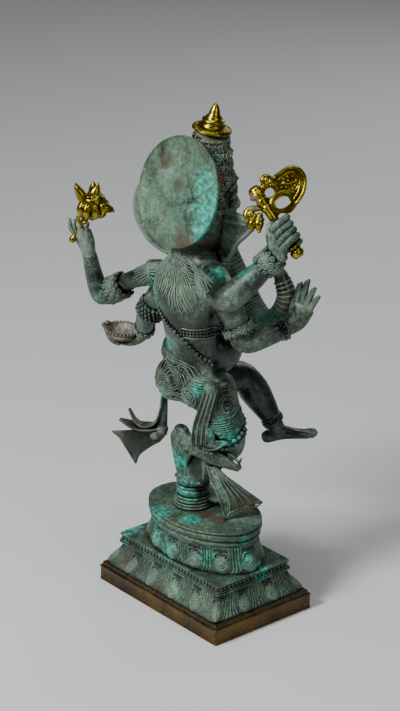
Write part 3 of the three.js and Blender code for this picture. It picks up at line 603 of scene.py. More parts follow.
def build_fist(centre, shaft, size, behind, flip=1):
    """Four long fingers and a thumb wrapped round a shaft from the palm behind it."""
    along = Vector(shaft).normalized()
    back = Vector(behind)
    back = (back - along * back.dot(along)).normalized()
    cross = along.cross(back) * flip
    middle = Vector(centre)

    def place(u, v, w):
        return (middle + along * u * size + back * v * size + cross * w * size)[:]
    palm = limb([[*place(-1.6, 0.9, 0), size * 0.7, size * 0.6], [*place(0, 0.75, 0), size * 1.1, size * 0.8],
                 [*place(1.4, 0.5, 0.1), size * 0.8, size * 0.6]], side=cross)
    fingers = []
    for k, u in enumerate((-1.15, -0.4, 0.35, 1.1)):
        fingers.append(limb([[*place(u - 0.3, 1.3, 0.5), size * 0.36], [*place(u - 0.1, 0.6, 1.05), size * 0.43],
                             [*place(u + 0.05, -0.3, 1.2), size * 0.44], [*place(u + 0.15, -1.15 - 0.06 * k, 0.75), size * 0.42],
                             [*place(u + 0.15, -1.25 - 0.06 * k, 0.0), size * 0.36], [*place(u + 0.1, -0.7, -0.7), size * 0.3]],
                            segments=14, per_span=4))
    thumb = limb([[*place(-1.5, 0.8, -0.6), size * 0.42], [*place(-1.9, -0.3, -0.4), size * 0.4],
                  [*place(-1.7, -1.2, 0.2), size * 0.34]], segments=12)
    back_of_hand = limb([[*place(-2.2, 1.6, 0.3), size * 0.75, size * 0.55], [*place(-0.9, 1.5, 0.5), size * 0.8, size * 0.6],
                         [*place(0.5, 1.1, 0.6), size * 0.7, size * 0.55], [*place(1.5, 0.6, 0.5), size * 0.45, size * 0.45]],
                        side=back, segments=18, per_span=5)
    return [palm, fingers, thumb, back_of_hand]


def build_left_hands():
    """The rear left hand with its fingers up round the goad, and the hand under the bowl."""
    palm = limb([[*WRIST_REAR_LEFT, 6], [96, 49.6, 313, 7.6, 5], [97, 52.6, 321, 8.4, 4.2]], side=Vector((0.64, 0.77, 0)), segments=18)
    fingers = []
    for root, tip, wide in (((101.4, 56, 319), (109, 56.4, 331), 2.2), ((98.6, 55, 321), (103.4, 55.6, 331.6), 2.1),
                            ((94.6, 54, 322), (96.6, 54.6, 331), 2.0), ((91.4, 50, 320), (91, 50.4, 330.6), 2.1)):
        bend = shifted(between(root, tip, 0.5), (1.4, 1.2, -0.6))
        fingers.append(limb([[*root, wide], [*bend, wide * 0.92], [*tip, wide * 0.62]], segments=12, per_span=4))
    under = limb([[*WRIST_FRONT_LEFT, 6.4], [87, -2, 216, 7, 4.6], [96, -1, 208.5, 8, 3.4], [105, 3, 207.4, 7.4, 2.8]], side=Y)
    under_fingers = [limb([[104, 6 + 4 * k, 207.6, 2.3], [113, 6 + 4.4 * k, 208, 2.1], [119, 6 + 4.4 * k, 212, 1.7]], segments=10)
                     for k in (-1.2, -0.4, 0.4, 1.2)]
    return [palm, fingers, under, under_fingers]


body_shape = join(build_body(), build_head())
body_skin = cast_as_one(body_shape, 1.2, rounds=5)
skin = BVHTree.FromBMesh(body_skin)


def on_skin(point, lift=0.0):
    """The nearest place of the body's skin, raised by lift."""
    place, normal, _, _ = skin.find_nearest(Vector(point))
    return place + normal * lift


def skin_strand(points, radius, lift=0.0, per_span=4, sides=6, taper=0.5):
    """A cord that lies on the skin."""
    line = [on_skin(row, lift) for row in spline([list(point) for point in points], per_span)]
    return strand(line, radius, sides=sides, taper=taper)


def skin_beads(points, radius, lift=0.0, gap=1.9, per_span=12, fine=2):
    """A string of beads that lies on the skin."""
    line = [on_skin(row, lift) for row in spline([list(point) for point in points], per_span)]
    beads = [bead(line[0], radius, fine)]
    last = line[0]
    for point in line[1:]:
        if (point - last).length >= radius * gap:
            beads.append(bead(point, radius, fine))
            last = point
    return beads


# Hair, cords and ornaments on the body

def build_hair():
    """Combed locks that fan out from the nape over both shoulders and the upper back, in two masses."""
    locks = []
    fan = math.radians(88)
    for count, offset, start in ((20, 0, 0.0), (20, 0.5, 0.16), (40, 0.25, 0.5)):
        for i in range(count):
            across = (i + offset) / (count - 1) * 2 - 1
            gap = math.exp(-((across + 0.08) / 0.16) ** 2)
            reach = 47 + 4 * abs(across) - 12 * gap - 3.5 * math.cos(i * 2.3)
            line = []
            for k in range(11):
                t = start + (1 - start) * k / 10
                wave = 1.3 * math.sin(t * 8 + across * 9) + 0.5 * math.sin(t * 17 + across * 30)
                distance = 6 + t * reach
                a = across * fan
                line.append((8 - math.sin(a) * (distance + 2) + wave * math.cos(a),
                             32, 325 - math.cos(a) * distance * 0.98 - 9 * t * abs(across) + wave * math.sin(a)))
            locks.append(skin_strand(line, 0.62, lift=0.3, per_span=2))
    return locks


def build_cords():
    """The beaded thread, the waist beads, the hip band and the necklaces."""
    thread = skin_beads([(33, 20, 284), (30, 21, 277), (24.4, 23, 269.4)], 1.3, lift=0.6)
    thread += skin_beads([(24.4, 23, 269.4), (14, 26, 262), (3.5, 27, 254.2)], 1.6, lift=0.8)
    thread += skin_beads([(3.5, 27, 254.2), (-7.1, 26, 245.7), (-13, 21, 238), (-19, 15, 232), (-26, 5, 227)], 2.1, lift=1.1)
    thread.append(skin_strand([(33, 20, 282), (22, 24, 266), (1, 28, 250.4), (-9, 26, 242), (-15, 21, 234), (-21, 15, 228)], 0.9, lift=0.3, taper=1))
    upper_thread = skin_beads([(33, 22, 275), (34, 16, 290), (30, 0, 300), (16, -16, 290), (2, -14, 284)], 1.5, lift=0.7)
    waist = []
    for z, radius in ((258.4, 0.0), (255.6, 1.3), (252.6, 1.3), (249.8, 0.0)):
        loop = [(7 + 26 * math.cos(a), 2 + 27 * math.sin(a), z) for a in [math.radians(112 + 19 * n) for n in range(15)]]
        waist += skin_beads(loop, radius, lift=0.5, fine=1) if radius else [skin_strand(loop, 0.8, lift=0.3, taper=1)]
    hip = []
    for k in range(3):
        drop = 2.6 * k
        hip.append(skin_strand([(38, 10, 236 - drop), (26, 28, 233 - drop), (6, 36, 230 - drop), (-10, 34, 228 - drop),
                                (-28, 20, 224 - drop), (-38, 4, 223 - drop)], 1.0, lift=0.4, taper=1))
    hip += skin_beads([(38, 10, 226.6), (26, 28, 224.6), (6, 36, 221.6), (-10, 34, 219.6), (-26, 22, 216.6)], 1.2, lift=0.5)
    necklace = []
    for drop, radius in ((0, 1.3), (4, 1.0), (9, 1.7)):
        necklace += skin_beads([(38, 0, 306 - drop), (28, -12, 300 - drop * 1.3), (8, -18, 294 - drop * 1.6), (-12, -12, 299 - drop * 1.3),
                                (-20, 0, 306 - drop)], radius, lift=0.7)
    return [thread, upper_thread, waist, hip, necklace]


def build_chasing():
    """Chased cloth on the seat and on both thighs: rings of arcs, a roundel and ribbed bands."""
    parts = []
    for centre, rings in (((13, 34, 205), 8), ((-12, 32, 196), 4)):
        for k in range(1, rings):
            radius = 2.4 * k
            loop = [(centre[0] + radius * math.cos(a), centre[1], centre[2] + radius * math.sin(a))
                    for a in [n / 12 * 2 * math.pi for n in range(13)]]
            parts.append(skin_strand(loop, 0.75, lift=0.2, per_span=3, taper=1))
        for k in range(14):
            a = k / 14 * 2 * math.pi
            radius = 2.4 * rings
            curl = [(centre[0] + radius * math.cos(a) + 2.4 * math.cos(a + b), centre[1], centre[2] + radius * math.sin(a) + 2.4 * math.sin(a + b))
                    for b in (-1.8, -0.9, 0, 0.9, 1.8)]
            parts.append(skin_strand(curl, 0.75, lift=0.2, per_span=3))
    # Swags of the hem under the seat
    for k in range(3):
        z = 186 - 2.6 * k
        parts.append(skin_strand([(40, 2, z + 8), (34, 20, z), (22, 28, z - 2), (8, 28, z - 1), (-6, 28, z - 3)], 0.8, lift=0.2))
    # Roundel on the right thigh: a broad oval band with beads inside it
    for grow, radius in ((1.0, 1.5), (0.66, 0.8)):
        loop = [(-40, 4.2 + 10.6 * grow * math.cos(a), 193.5 + 11.4 * grow * math.sin(a)) for a in [n / 12 * 2 * math.pi for n in range(13)]]
        parts.append(skin_strand(loop, radius, lift=0.3, per_span=3, taper=1))
    beads = [(-40, 4.2 + 8.8 * math.cos(a), 193.5 + 9.4 * math.sin(a)) for a in [n / 12 * 2 * math.pi for n in range(13)]]
    parts += skin_beads(beads, 0.9, lift=0.4, fine=1)
    for k in range(4):
        parts.append(ball(on_skin((-40, 4.2, 187.5 + 4 * k), 0.4), (1.6, 2.4, 2.0), fine=10))
    # Ribbed bands round the right thigh, slanting down to the knee
    for k in range(6):
        z = 179 - 2.4 * k
        parts.append(skin_strand([(-4, 18, z - 5), (-18, 18, z - 4), (-34, 8, z - 1), (-42, -8, z + 3), (-36, -26, z + 6), (-18, -32, z + 7)],
                                 0.9, lift=0.35, taper=1))
    parts += skin_beads([(-12, 14, 150), (-30, 8, 153), (-42, -6, 160), (-40, -20, 170), (-28, -30, 176)], 2.3, lift=1.1)
    parts += skin_beads([(-12, 12, 145.5), (-30, 6, 148), (-41, -10, 155), (-38, -24, 164)], 1.9, lift=0.9)
    # Lines of cloth along the raised thigh
    for k in range(9):
        a = -1.1 + 0.27 * k
        parts.append(skin_strand([(21 + 24 * math.cos(a), 2, 190 + 24 * math.sin(a) - 6), (18 + 22 * math.cos(a), -18, 190 + 22 * math.sin(a) - 2),
                                  (12 + 20 * math.cos(a), -34, 188 + 20 * math.sin(a) + 2)], 0.6, lift=0.1))
    return parts


def build_bracelets():
    """Armlets, bracelets and anklets: cast curls in staggered rows, or plain rings between rows of beads."""
    parts = []
    chance = random.Random(4)

    def florets(centre, along, radius, rows, size):
        """A thick band of small cast curls."""
        axis = Vector(along).normalized()
        turn = towards(along)
        parts.append(bangle(centre, along, radius, size * 0.9, height=rows * 0.8, segments=36))
        for k in range(rows):
            middle = Vector(centre) + axis * (k - (rows - 1) / 2) * size * 1.7
            count = int(2 * math.pi * radius / (size * 2))
            for n in range(count):
                a = (n + 0.5 * (k % 2) + chance.uniform(-0.12, 0.12)) / count * 2 * math.pi
                grow = size * chance.uniform(0.85, 1.15)
                spot = middle + turn @ Vector((math.cos(a), math.sin(a), 0)) * (radius + size * 0.65)
                way = (spot - middle).normalized()
                parts.append(bangle(spot, way, grow * 0.72, grow * 0.42, segments=9, sides=5))
                parts.append(bead(spot + way * grow * 0.2, grow * 0.4, 1))

    def band(centre, along, radius, rows, pitch, thickness):
        """Plain rings with beads between."""
        axis = Vector(along).normalized()
        turn = towards(along)
        for k in range(rows):
            middle = Vector(centre) + axis * (k - (rows - 1) / 2) * pitch
            if k % 2 == 0:
                parts.append(bangle(middle, along, radius, thickness, segments=36))
                continue
            count = int(2 * math.pi * radius / (thickness * 2.1))
            for n in range(count):
                a = n / count * 2 * math.pi
                spot = middle + turn @ Vector((math.cos(a), math.sin(a), 0)) * (radius + thickness * 0.2)
                parts.append(bead(spot, thickness * 1.15, 1))
    florets(between(ELBOW_REAR_RIGHT, WRIST_REAR_RIGHT, 0.98), (-25, -24, 34), 8.6, 4, 2.5)
    florets((81, 29.4, 270.5), (26, 11, -17), 9.4, 5, 2.5)
    florets(between(SHOULDER_FRONT_RIGHT, ELBOW_FRONT_RIGHT, 0.75), (-18, -11, -44), 11.4, 2, 2.2)
    band(between(ELBOW_FRONT_RIGHT, WRIST_FRONT_RIGHT, 0.92), (-16, -33, 8), 7.4, 3, 2.6, 1.6)
    for k in range(4):
        middle = Vector((61, 7, 252.6)) + Vector((26, 5, -44)).normalized() * (k - 1.5) * 3.6
        turn = towards((26, 5, -44))
        parts.append(bangle(middle, (26, 5, -44), 10.2, 1.3, segments=36))
        for n in range(18):
            a = (n + 0.5 * (k % 2)) / 18 * 2 * math.pi
            parts.append(bead(middle + turn @ Vector((math.cos(a), math.sin(a), 0)) * 11.2, 2.0, 2))
    band((46, 15, 291), (28, 10, -14), 10.4, 2, 2.4, 1.5)
    florets(between(ELBOW_FRONT_LEFT, WRIST_FRONT_LEFT, 0.8), (15, -9, -20), 7.4, 2, 2.0)
    band(shifted(ANKLE_LEFT, (1.5, 1.2, 3)), (0.5, 0.45, 1), 8.4, 3, 2.5, 1.5)
    return parts


def build_anklet():
    """The heavy anklet of the standing leg, two swollen rings with fine rings between and below."""
    x, y = 10.5, 3
    parts = [bangle((x, y, 109), (0.05, 0, 1), 10.3, 4.3, height=1.05, segments=48, sides=12),
             bangle((x, y, 99.6), (0, 0, 1), 10.6, 4.5, height=0.95, segments=48, sides=12)]
    for z, radius in ((114, 11.6), (104.4, 13.8), (94.6, 14.2), (92, 14.8), (89, 15.2), (86.6, 16)):
        parts.append(bangle((x, y, z), (0, 0, 1), radius, 1.2, segments=48))
    # Its cast curls, uneven and half melted
    for k in range(9):
        a = 0.7 * k
        parts.append(ball((x + 14 * math.cos(a), y + 14 * math.sin(a), 110.6), (2.6, 2.6, 2.2), fine=10))
    return parts


# Crown

def leaf_curl(centre, out, size, lean=0.35):
    """A pointed leaf with a rib and two curled lobes, standing on the crown's flank."""
    up = (Z + out * lean).normalized()
    aside = out.cross(Z).normalized()
    middle = Vector(centre)

    def spot(u, v, w=0.0):
        return (middle + aside * u * size + up * v * size + out * w * size)[:]
    blade = limb([[*spot(0, -0.5, -0.1), 0.42 * size, 0.22 * size], [*spot(0, 0.1, 0.05), 0.5 * size, 0.24 * size],
                  [*spot(0, 0.7, 0.12), 0.3 * size, 0.18 * size], [*spot(0, 1.1, 0.22), 0.1 * size, 0.1 * size]],
                 side=aside, segments=10, per_span=2)
    rib = strand([spot(0, -0.4, 0.2), spot(0, 0.2, 0.32), spot(0, 0.95, 0.34)], 0.09 * size, sides=5)
    lobes = [strand([spot(s * 0.2, -0.5, 0.15), spot(s * 0.62, -0.25, 0.22), spot(s * 0.68, 0.18, 0.24),
                     spot(s * 0.42, 0.26, 0.26), spot(s * 0.38, 0.02, 0.28)], 0.12 * size, sides=5, per_span=2) for s in (-1, 1)]
    return [blade, rib, lobes]


def crown_centre(z):
    """The crown leans a little back and to the right as it rises."""
    t = (z - 362) / 58
    return Vector((5 - 7.5 * t, -5.5 - 1.3 * t, z))


def build_crown():
    core = [limb([[*crown_centre(z)[:], r] for z, r in ((356, 25), (364, 26.5), (374, 23.8), (382, 22.2), (392, 19.6), (402, 17.2),
                                                       (412, 15), (420, 13.5))], segments=40, domed=False)]

    def spot(z, a, grow):
        return crown_centre(z) + Vector((math.cos(a), math.sin(a), 0)) * grow

    def scroll(z, a, radius, size, hand):
        """A cord that curls in on itself, laid on the crown."""
        line = []
        for k in range(15):
            t = k / 14
            turn = hand * (t * 8.4 + 0.6)
            reach = size * (1 - 0.8 * t)
            line.append(spot(z + reach * math.sin(turn), a + reach * math.cos(turn) / radius, radius + size * 0.3 * t))
        return strand(line, size * 0.2, sides=6, taper=1)

    def rosette(z, a, radius, size):
        """A round flower of petals about a boss."""
        out = Vector((math.cos(a), math.sin(a), 0.15)).normalized()
        turn = towards(out)
        middle = spot(z, a, radius)
        made = [bead(middle + out * size * 0.35, size * 0.34, 2), bangle(middle, out, size * 0.95, size * 0.16, segments=18, sides=6)]
        for n in range(8):
            b = n / 8 * 2 * math.pi
            at = middle + turn @ Vector((math.cos(b), math.sin(b), 0)) * size * 0.6 + out * size * 0.12
            made.append(ball(at[:], (size * 0.24, size * 0.24, size * 0.18), turn=turn, fine=8))
        return made
    tiers = ((370, 25, 11, 5.0, "scroll"), (382.5, 22.6, 9, 5.4, "rosette"), (393.5, 19.6, 10, 4.6, "scroll"), (403.5, 17.4, 8, 4.4, "rosette"),
             (412, 15.4, 8, 3.6, "scroll"))
    for index, (z, radius, count, size, kind) in enumerate(tiers):
        for i in range(count):
            a = (i + 0.5 * (index % 2)) / count * 2 * math.pi
            out = Vector((math.cos(a), math.sin(a), 0))
            beside = a + math.pi / count
            if kind == "scroll":
                core.append([scroll(z, a - size * 0.55 / radius, radius, size * 0.8, 1), scroll(z, a + size * 0.55 / radius, radius, size * 0.8, -1)])
                core.append(leaf_curl(spot(z + size * 0.5, a, radius + 0.2), out, size * 0.7, -0.1))
            else:
                core.append(rosette(z, a, radius + 0.6, size))
                side = Vector((math.cos(beside), math.sin(beside), 0))
                core.append(leaf_curl(spot(z, beside, radius - 0.4), side, size * 0.85, -0.15))
        core.append(bangle(crown_centre(z - size * 1.12), (-0.13, -0.05, 1), radius + 0.6, 1.1, segments=48, sides=6))
        for n in range(count * 4):
            core.append(bead(spot(z - size * 0.86, n / (count * 4) * 2 * math.pi, radius + 0.8), 0.95, 1))
    core += [bangle(crown_centre(362), (-0.1, 0, 1), 27.4, 2.2, segments=56), bangle(crown_centre(418.5), (-0.1, 0, 1), 14.4, 1.5)]
    # Curls that stand out at the crown's foot, and the long leaf over the right ear
    for i in range(30):
        a = i / 30 * 2 * math.pi
        core.append(ball(spot(359, a, 28.2)[:], (2.2, 2.2, 2.4), fine=10))
    for z, reach, size in ((370, 27.5, 5.0), (364, 27.5, 4.2), (376, 25.5, 4.2)):
        core.append(leaf_curl(spot(z, math.radians(195), reach), Vector((-1, -0.3, 0.2)).normalized(), size, 0.9))
        core.append(rosette(z - 1, math.radians(168), reach - 1.5, size * 0.9))
    return core


def behind_halo(shape):
    """Cuts off what would stand out behind the halo's front face."""
    front = HALO_CENTRE - HALO_FACING * 1.9
    bmesh.ops.bisect_plane(shape, geom=shape.verts[:] + shape.edges[:] + shape.faces[:], plane_co=front, plane_no=HALO_FACING,
                           clear_outer=True)
    return shape


# Cloth of the standing leg and the flying ends

def sheet(rows, thickness, columns=10):
    """A cast cloth end: a grid drawn over rows of points, thickened."""
    bm = bmesh.new()
    lines = [spline([list(point) for point in row], 6) for row in rows]
    down = len(rows) * 4
    across = len(lines[0])
    bmesh.ops.create_grid(bm, x_segments=across - 1, y_segments=down, size=0.5)
    for vert in bm.verts:
        i = round((vert.co.x + 0.5) * (across - 1))
        t = (vert.co.y + 0.5) * (len(lines) - 1)
        k = min(int(t), len(lines) - 2)
        vert.co = Vector(lines[k][i]).lerp(Vector(lines[k + 1][i]), t - k)
    bmesh.ops.recalc_face_normals(bm, faces=bm.faces)
    bmesh.ops.solidify(bm, geom=bm.faces[:], thickness=thickness)
    bmesh.ops.recalc_face_normals(bm, faces=bm.faces)
    return bm


def build_leg_cloth():
    lobe = limb([[15, 12, 155, 8, 6], [15, 12, 147, 12, 8], [16, 10, 124, 9, 6.5], [14, 7, 106, 6, 7]], segments=28, per_span=8)
    arch = limb([[9.6, 13, 112, 1.6], [6.1, 13.8, 126, 1.7], [0.5, 13.6, 139, 1.9], [-6.6, 11.6, 146, 2.0], [-8.8, 9.4, 141, 1.7],
                 [-10, 8, 131, 1.5], [-9.4, 8, 117, 1.3]], segments=12, per_span=6)
    wrap = limb([[12, 12.6, 149, 6, 5], [-4, 12, 146, 8, 5.4], [-18, 7, 142, 8, 4.4], [-32, 0, 137, 5.4, 3], [-41, -4, 134, 3, 2]],
                side=Z, segments=20, per_span=6)
    return cast_as_one(join(lobe, arch, wrap), 0.9, rounds=4)


def build_skirt_ends():
    """The flaring end below the knee: a narrow near flap, and a broad far one with a rolled upper edge."""
    near_edge = [(-15.4, 9, 132.3), (-19, 8.6, 124), (-22.2, 8, 116.6), (-29.1, 6, 103.4), (-32.9, 3, 85)]
    fold = [(-20, 5.4, 131), (-24, 4, 124), (-27.4, 3, 116), (-34, 0, 103), (-34.6, 0, 91)]
    middle = [(-17.6, 8, 131.6), (-21.6, 7.2, 124), (-24.8, 6.4, 116), (-31.4, 4, 103), (-33.4, 2, 88)]
    rolled = [(-18.7, 4, 131.6), (-27.2, 0, 124), (-36.3, -8, 115), (-41.7, -18, 105), (-47, -26, 97.3)]
    between_folds = [(-19.4, 4.4, 131), (-25.6, 1.6, 122), (-32, -4, 112), (-37.6, -10, 101), (-41, -14, 95)]
    near = sheet([near_edge, middle, fold], 1.8)
    far = sheet([fold, between_folds, rolled], 1.8)
    cords = [strand(rolled, 1.6, per_span=6, taper=0.8), strand(near_edge, 1.3, per_span=6, taper=0.8), strand(fold, 1.1, per_span=6),
             strand([near_edge[-1], fold[-1], (-38, -6, 93.4), between_folds[-1], (-44.6, -21, 94.6), rolled[-1]], 1.1, per_span=5)]
    for t in (0.25, 0.5, 0.75):
        cords.append(strand([between(p, q, t) for p, q in zip(fold, rolled)], 0.7, per_span=5))
    # The little lens-shaped loop and the hook at the end of the upper cloth
    loop = [(-30, -2, 145.6), (-35, -3.4, 143.6), (-41, -5, 138.6), (-42.4, -5.4, 134.6), (-39, -4, 134.4), (-34, -2.4, 138.6), (-30, -2, 145.6)]
    cords.append(strand(loop, 1.1, per_span=5))
    cords.append(strand([(-41, -4, 136), (-42, -4, 139), (-43.4, -4.6, 142.6), (-44.6, -5, 145)], 1.2, per_span=4))
    return [near, far, cords]


def build_sash():
    """Three pleated tails of the sash that hang from the hip over the thigh."""
    parts = []
    aside = Vector((-0.635, -0.772, 0))
    for k in (-1, 0, 1):
        line = [(-33, 19, 210.5), (-28.4, 20.6, 194), (-21.4, 20.4, 176), (-16.4, 18.4, 161), (-14.6, 17.2, 153.4)]
        spread = (3.0, 3.4, 3.9, 4.2, 4.0)
        line = [(Vector(point) + aside * k * wide)[:] for point, wide in zip(line, spread)]
        parts.append(limb([[*point, 2.2, 1.3] for point in line], side=aside, segments=12, per_span=6))
        for edge in (-1, 1):
            parts.append(strand([(Vector(point) + aside * edge * 1.9 + Vector((-0.8, 1.0, 0.5)))[:] for point in line], 0.75, per_span=5, taper=0.9))
    parts.append(ball((-30, 17, 211), (7, 6, 5.5), fine=20))
    for k in range(4):
        parts.append(skin_strand([(-40, -2, 218 - 3 * k), (-36, 12, 217 - 3 * k), (-26, 24, 217 - 3 * k), (-14, 32, 220 - 3 * k)], 1.1, lift=0.4))
    # The small folded end under the tails
    parts.append(limb([[-10, 13, 156, 1.6, 1.2], [-17, 12, 153.6, 4.2, 1.8], [-26, 9, 154.6, 4.6, 2], [-35, 4, 159, 1.6, 1.2]], side=Z, segments=16, per_span=5))
    parts.append(strand([(-10, 14.6, 155), (-17, 14, 150.4), (-26, 11, 150.8), (-35, 5, 158)], 0.9, per_span=5))
    parts.append(strand([(-10, 14.6, 157), (-17, 14, 157.4), (-26, 11, 158.8), (-35, 5, 160)], 0.9, per_span=5))
    # Cloth bunched between the tails and the thigh
    parts.append(limb([[-19, 14, 182, 3, 3], [-22, 13, 170, 5, 4], [-24, 11, 160, 4.4, 3.4], [-26, 8, 154, 2, 2]], segments=16, per_span=5))
    return parts


def build_flying_cloth():
    ribbon = limb([[33, 17, 190, 2.6, 1.3], [35, 18, 172, 4.5, 1.2], [40, 21, 157, 5, 1.2], [51, 24, 151, 5, 1.2], [60, 27, 154, 4.4, 1.1],
                   [67, 28, 162, 2.6, 1]], side=Vector((0.6, -0.8, 0)), segments=14, per_span=7)
    leaf = limb([[38, 16, 152, 5, 2], [50, 21, 149, 7.4, 2], [62, 26, 148, 6.6, 1.8], [76, 31, 150, 2.2, 1.2]],
                side=Vector((0.5, -0.8, 0.2)), segments=16, per_span=6)
    tail = sheet([[(35, 12, 145), (50, 19, 147), (66, 26, 142), (86, 34, 136)],
                  [(37, 14, 142), (50, 21, 138), (62, 27, 133), (78, 31, 131)],
                  [(40, 17, 137), (50, 23, 128), (57, 27, 120), (60, 28, 112)]], 2)
    strap = limb([[35, 15, 178, 3.5, 3], [37, 15, 160, 4.5, 4], [39, 16, 147, 5, 5], [44, 19, 142, 4, 4]], per_span=5)
    knot = [ball((38, 15, 150), (6, 5, 6)), ball((43, 18, 144), (5, 5, 5))]
    return [ribbon, leaf, tail, strap, knot]


# Face

def build_face():
    parts = []
    for side in (-1, 1):
        parts.append(ball(on_face(25.5, 11.5 * side, 1), (3.6, 3.2, 2.6)))
        for rise, grow in ((2.4, 1.0), (-1.8, 0.8), (4.4, 0.8)):
            parts.append(strand([on_face(23, 6 * side, rise * 0.4 + 0.2), on_face(28.4, 11.5 * side, rise), on_face(22, 17.5 * side, rise * 0.3)],
                                0.9 * grow, per_span=5))
    for k in range(3):
        parts.append(skin_strand([on_face(30, -9 + 1.5 * k, 13 - 3 * k), on_face(36, 0, 11 - 3 * k), on_face(30, 9 - 1.5 * k, 13 - 3 * k)], 0.8,
                                 lift=0.2, per_span=5))
    parts.append(ball(on_skin(on_face(34, 0, 16), 0.2)[:], (2.2, 2.2, 3)))
    # Wrinkles across the trunk
    line = spline([[21, -39, 324], [22, -41, 309], [17, -46, 291], [6, -50, 272], [-4, -52, 257], [-18, -53, 249], [-33, -55, 257],
                   [-42, -56, 277], [-38, -53, 295]], 5)
    for i in range(1, len(line) - 1):
        along = Vector(line[i + 1]) - Vector(line[i - 1])
        fade = max(0.0, (i - 28) / 12)
        parts.append(bangle(line[i], along, 10.1 - 3.2 * fade, 0.75, segments=28, sides=6))
    return parts


# Axe, goad, bowl, cap and halo

def build_axe():
    along = (Vector(AXE_TOP) - Vector(AXE_POMMEL)).normalized()
    out = Vector((-12.7, -25.5, 15.5))
    out = (out - along * out.dot(along)).normalized()
    turn = Matrix((out, along, out.cross(along))).transposed().to_4x4()
    place = Matrix.Translation(between(AXE_POMMEL, AXE_TOP, 0.74)) @ turn

    def spot(u, v, w=0.0):
        return (place @ Vector((u, v, w)))[:]

    def flat_cord(points, radius, face, taper=0.6):
        return strand([spot(u, v, face) for u, v in spline([list(point) for point in points], 5)], radius, taper=taper)
    blade = smooth_loop([(0, -12), (7, -12), (13, -16), (20, -14.6), (31, -10), (38, -3), (40.4, 4), (38.6, 10.6), (32, 14.6), (25, 14.8),
                         (18, 14.4), (12, 12.4), (3, 12), (0, 8)], 4)
    upper = [(9.6, 1.6), (5, 3.4), (4.6, 7.6), (7.4, 10), (12, 9.6), (13.6, 6), (12.4, 2.6)]
    lower = [(6.4, -7.6), (7, -3.6), (11, -1.4), (16.6, -2), (19.6, -5), (19, -9.4), (14, -11.6), (9, -10.2)]
    holes = [smooth_loop(upper, 3)[::-1], smooth_loop(lower, 3)[::-1]]
    parts = [plate(blade, 3, place, bevel=0.8, holes=holes)]
    rim = [(19.6, -14), (30.6, -9.4), (37.4, -2.6), (39.6, 4), (38, 10), (31.6, 13.8), (25, 14), (17, 13.4)]
    inner = [(20.6, -10), (28.6, -6), (33.6, -0.6), (35, 4.6), (33, 9), (28, 10.6), (20, 10.4)]
    for face in (1.5, -1.5):
        parts.append(flat_cord(rim, 1.5, face))
        parts.append(flat_cord(inner, 0.9, face))
        parts.append(flat_cord([(5, -12), (3.6, -6), (6, -0.6), (12, 1.4), (18, 0.6), (22, -3)], 1.3, face))
        parts.append(flat_cord([(12, 11), (16, 8), (16.8, 2), (21, -3), (23, -8)], 1.1, face))
        parts.append(flat_cord([(21, 7), (25, 3), (30, 2), (31, -2), (27, -4), (25, -1)], 0.8, face))
        parts.append(flat_cord([(20, 0), (23, -3), (26, -6)], 0.7, face))
        for u, v in ((24, 8.4), (28, 8.2), (31.4, 6), (32, 2), (19, 3.6), (22.6, 2), (23, 5.6), (26.6, 5.4), (29, -1)):
            parts.append(ball(spot(u, v, face), (1.2, 1.2, 1.2), fine=8))
    # The curl on the blade's upper edge
    flat = out.cross(along)
    parts.append(bangle(spot(12.4, 15.6), flat, 3.3, 1.9, segments=20))
    parts.append(ball(spot(12.4, 15.6), (2.2, 2.2, 2.6)))
    parts.append(strand([spot(3, 10), spot(7, 12.6), spot(10, 13.6)], 2.4, per_span=4))
    # The scroll behind the haft, with two golden drops under it
    parts.append(strand([spot(-2, -2), spot(-8, 2), spot(-13, 4), spot(-17, 1), spot(-16, -4), spot(-12, -4)], 2.6, per_span=5))
    parts.append(ball(spot(-13, 0.4), (3.4, 3.4, 3.4)))
    for start, middle, end in (((-8, -5), (-12.4, -10), (-15.4, -15)), ((-12, -3), (-16.6, -7), (-19.4, -11))):
        parts.append(limb([[*spot(*start), 2.8], [*spot(*middle), 4.2], [*spot(*end), 1.6]], segments=14, per_span=5))
        parts.append(bangle(spot(*between(start, middle, 0.4)), Vector(spot(*middle)) - Vector(spot(*start)), 3.0, 1.4, segments=16))
    haft = [(0, -2), (3.4, -2), (5.0, 0), (5.8, 2.6), (5.2, 4.8), (4.2, 5.2), (4.2, 6), (5.2, 6.6), (5, 8.4), (3.6, 9.6), (4.4, 11), (3.6, 12.4),
            (3.8, 43), (4.9, 44.4), (4.9, 46.4), (3.9, 47.8), (4.2, 50), (5.2, 51.4), (5.0, 53.4), (4.0, 54.6), (5.8, 56), (7.2, 57.8), (7.2, 59.4),
            (5.6, 60.2), (5.8, 62), (4.8, 64.6), (2.4, 65.8), (0, 66)]
    parts.append(turned(haft, 28, centre=(Vector(AXE_POMMEL) - along * 2.4)[:], along=along))
    return parts


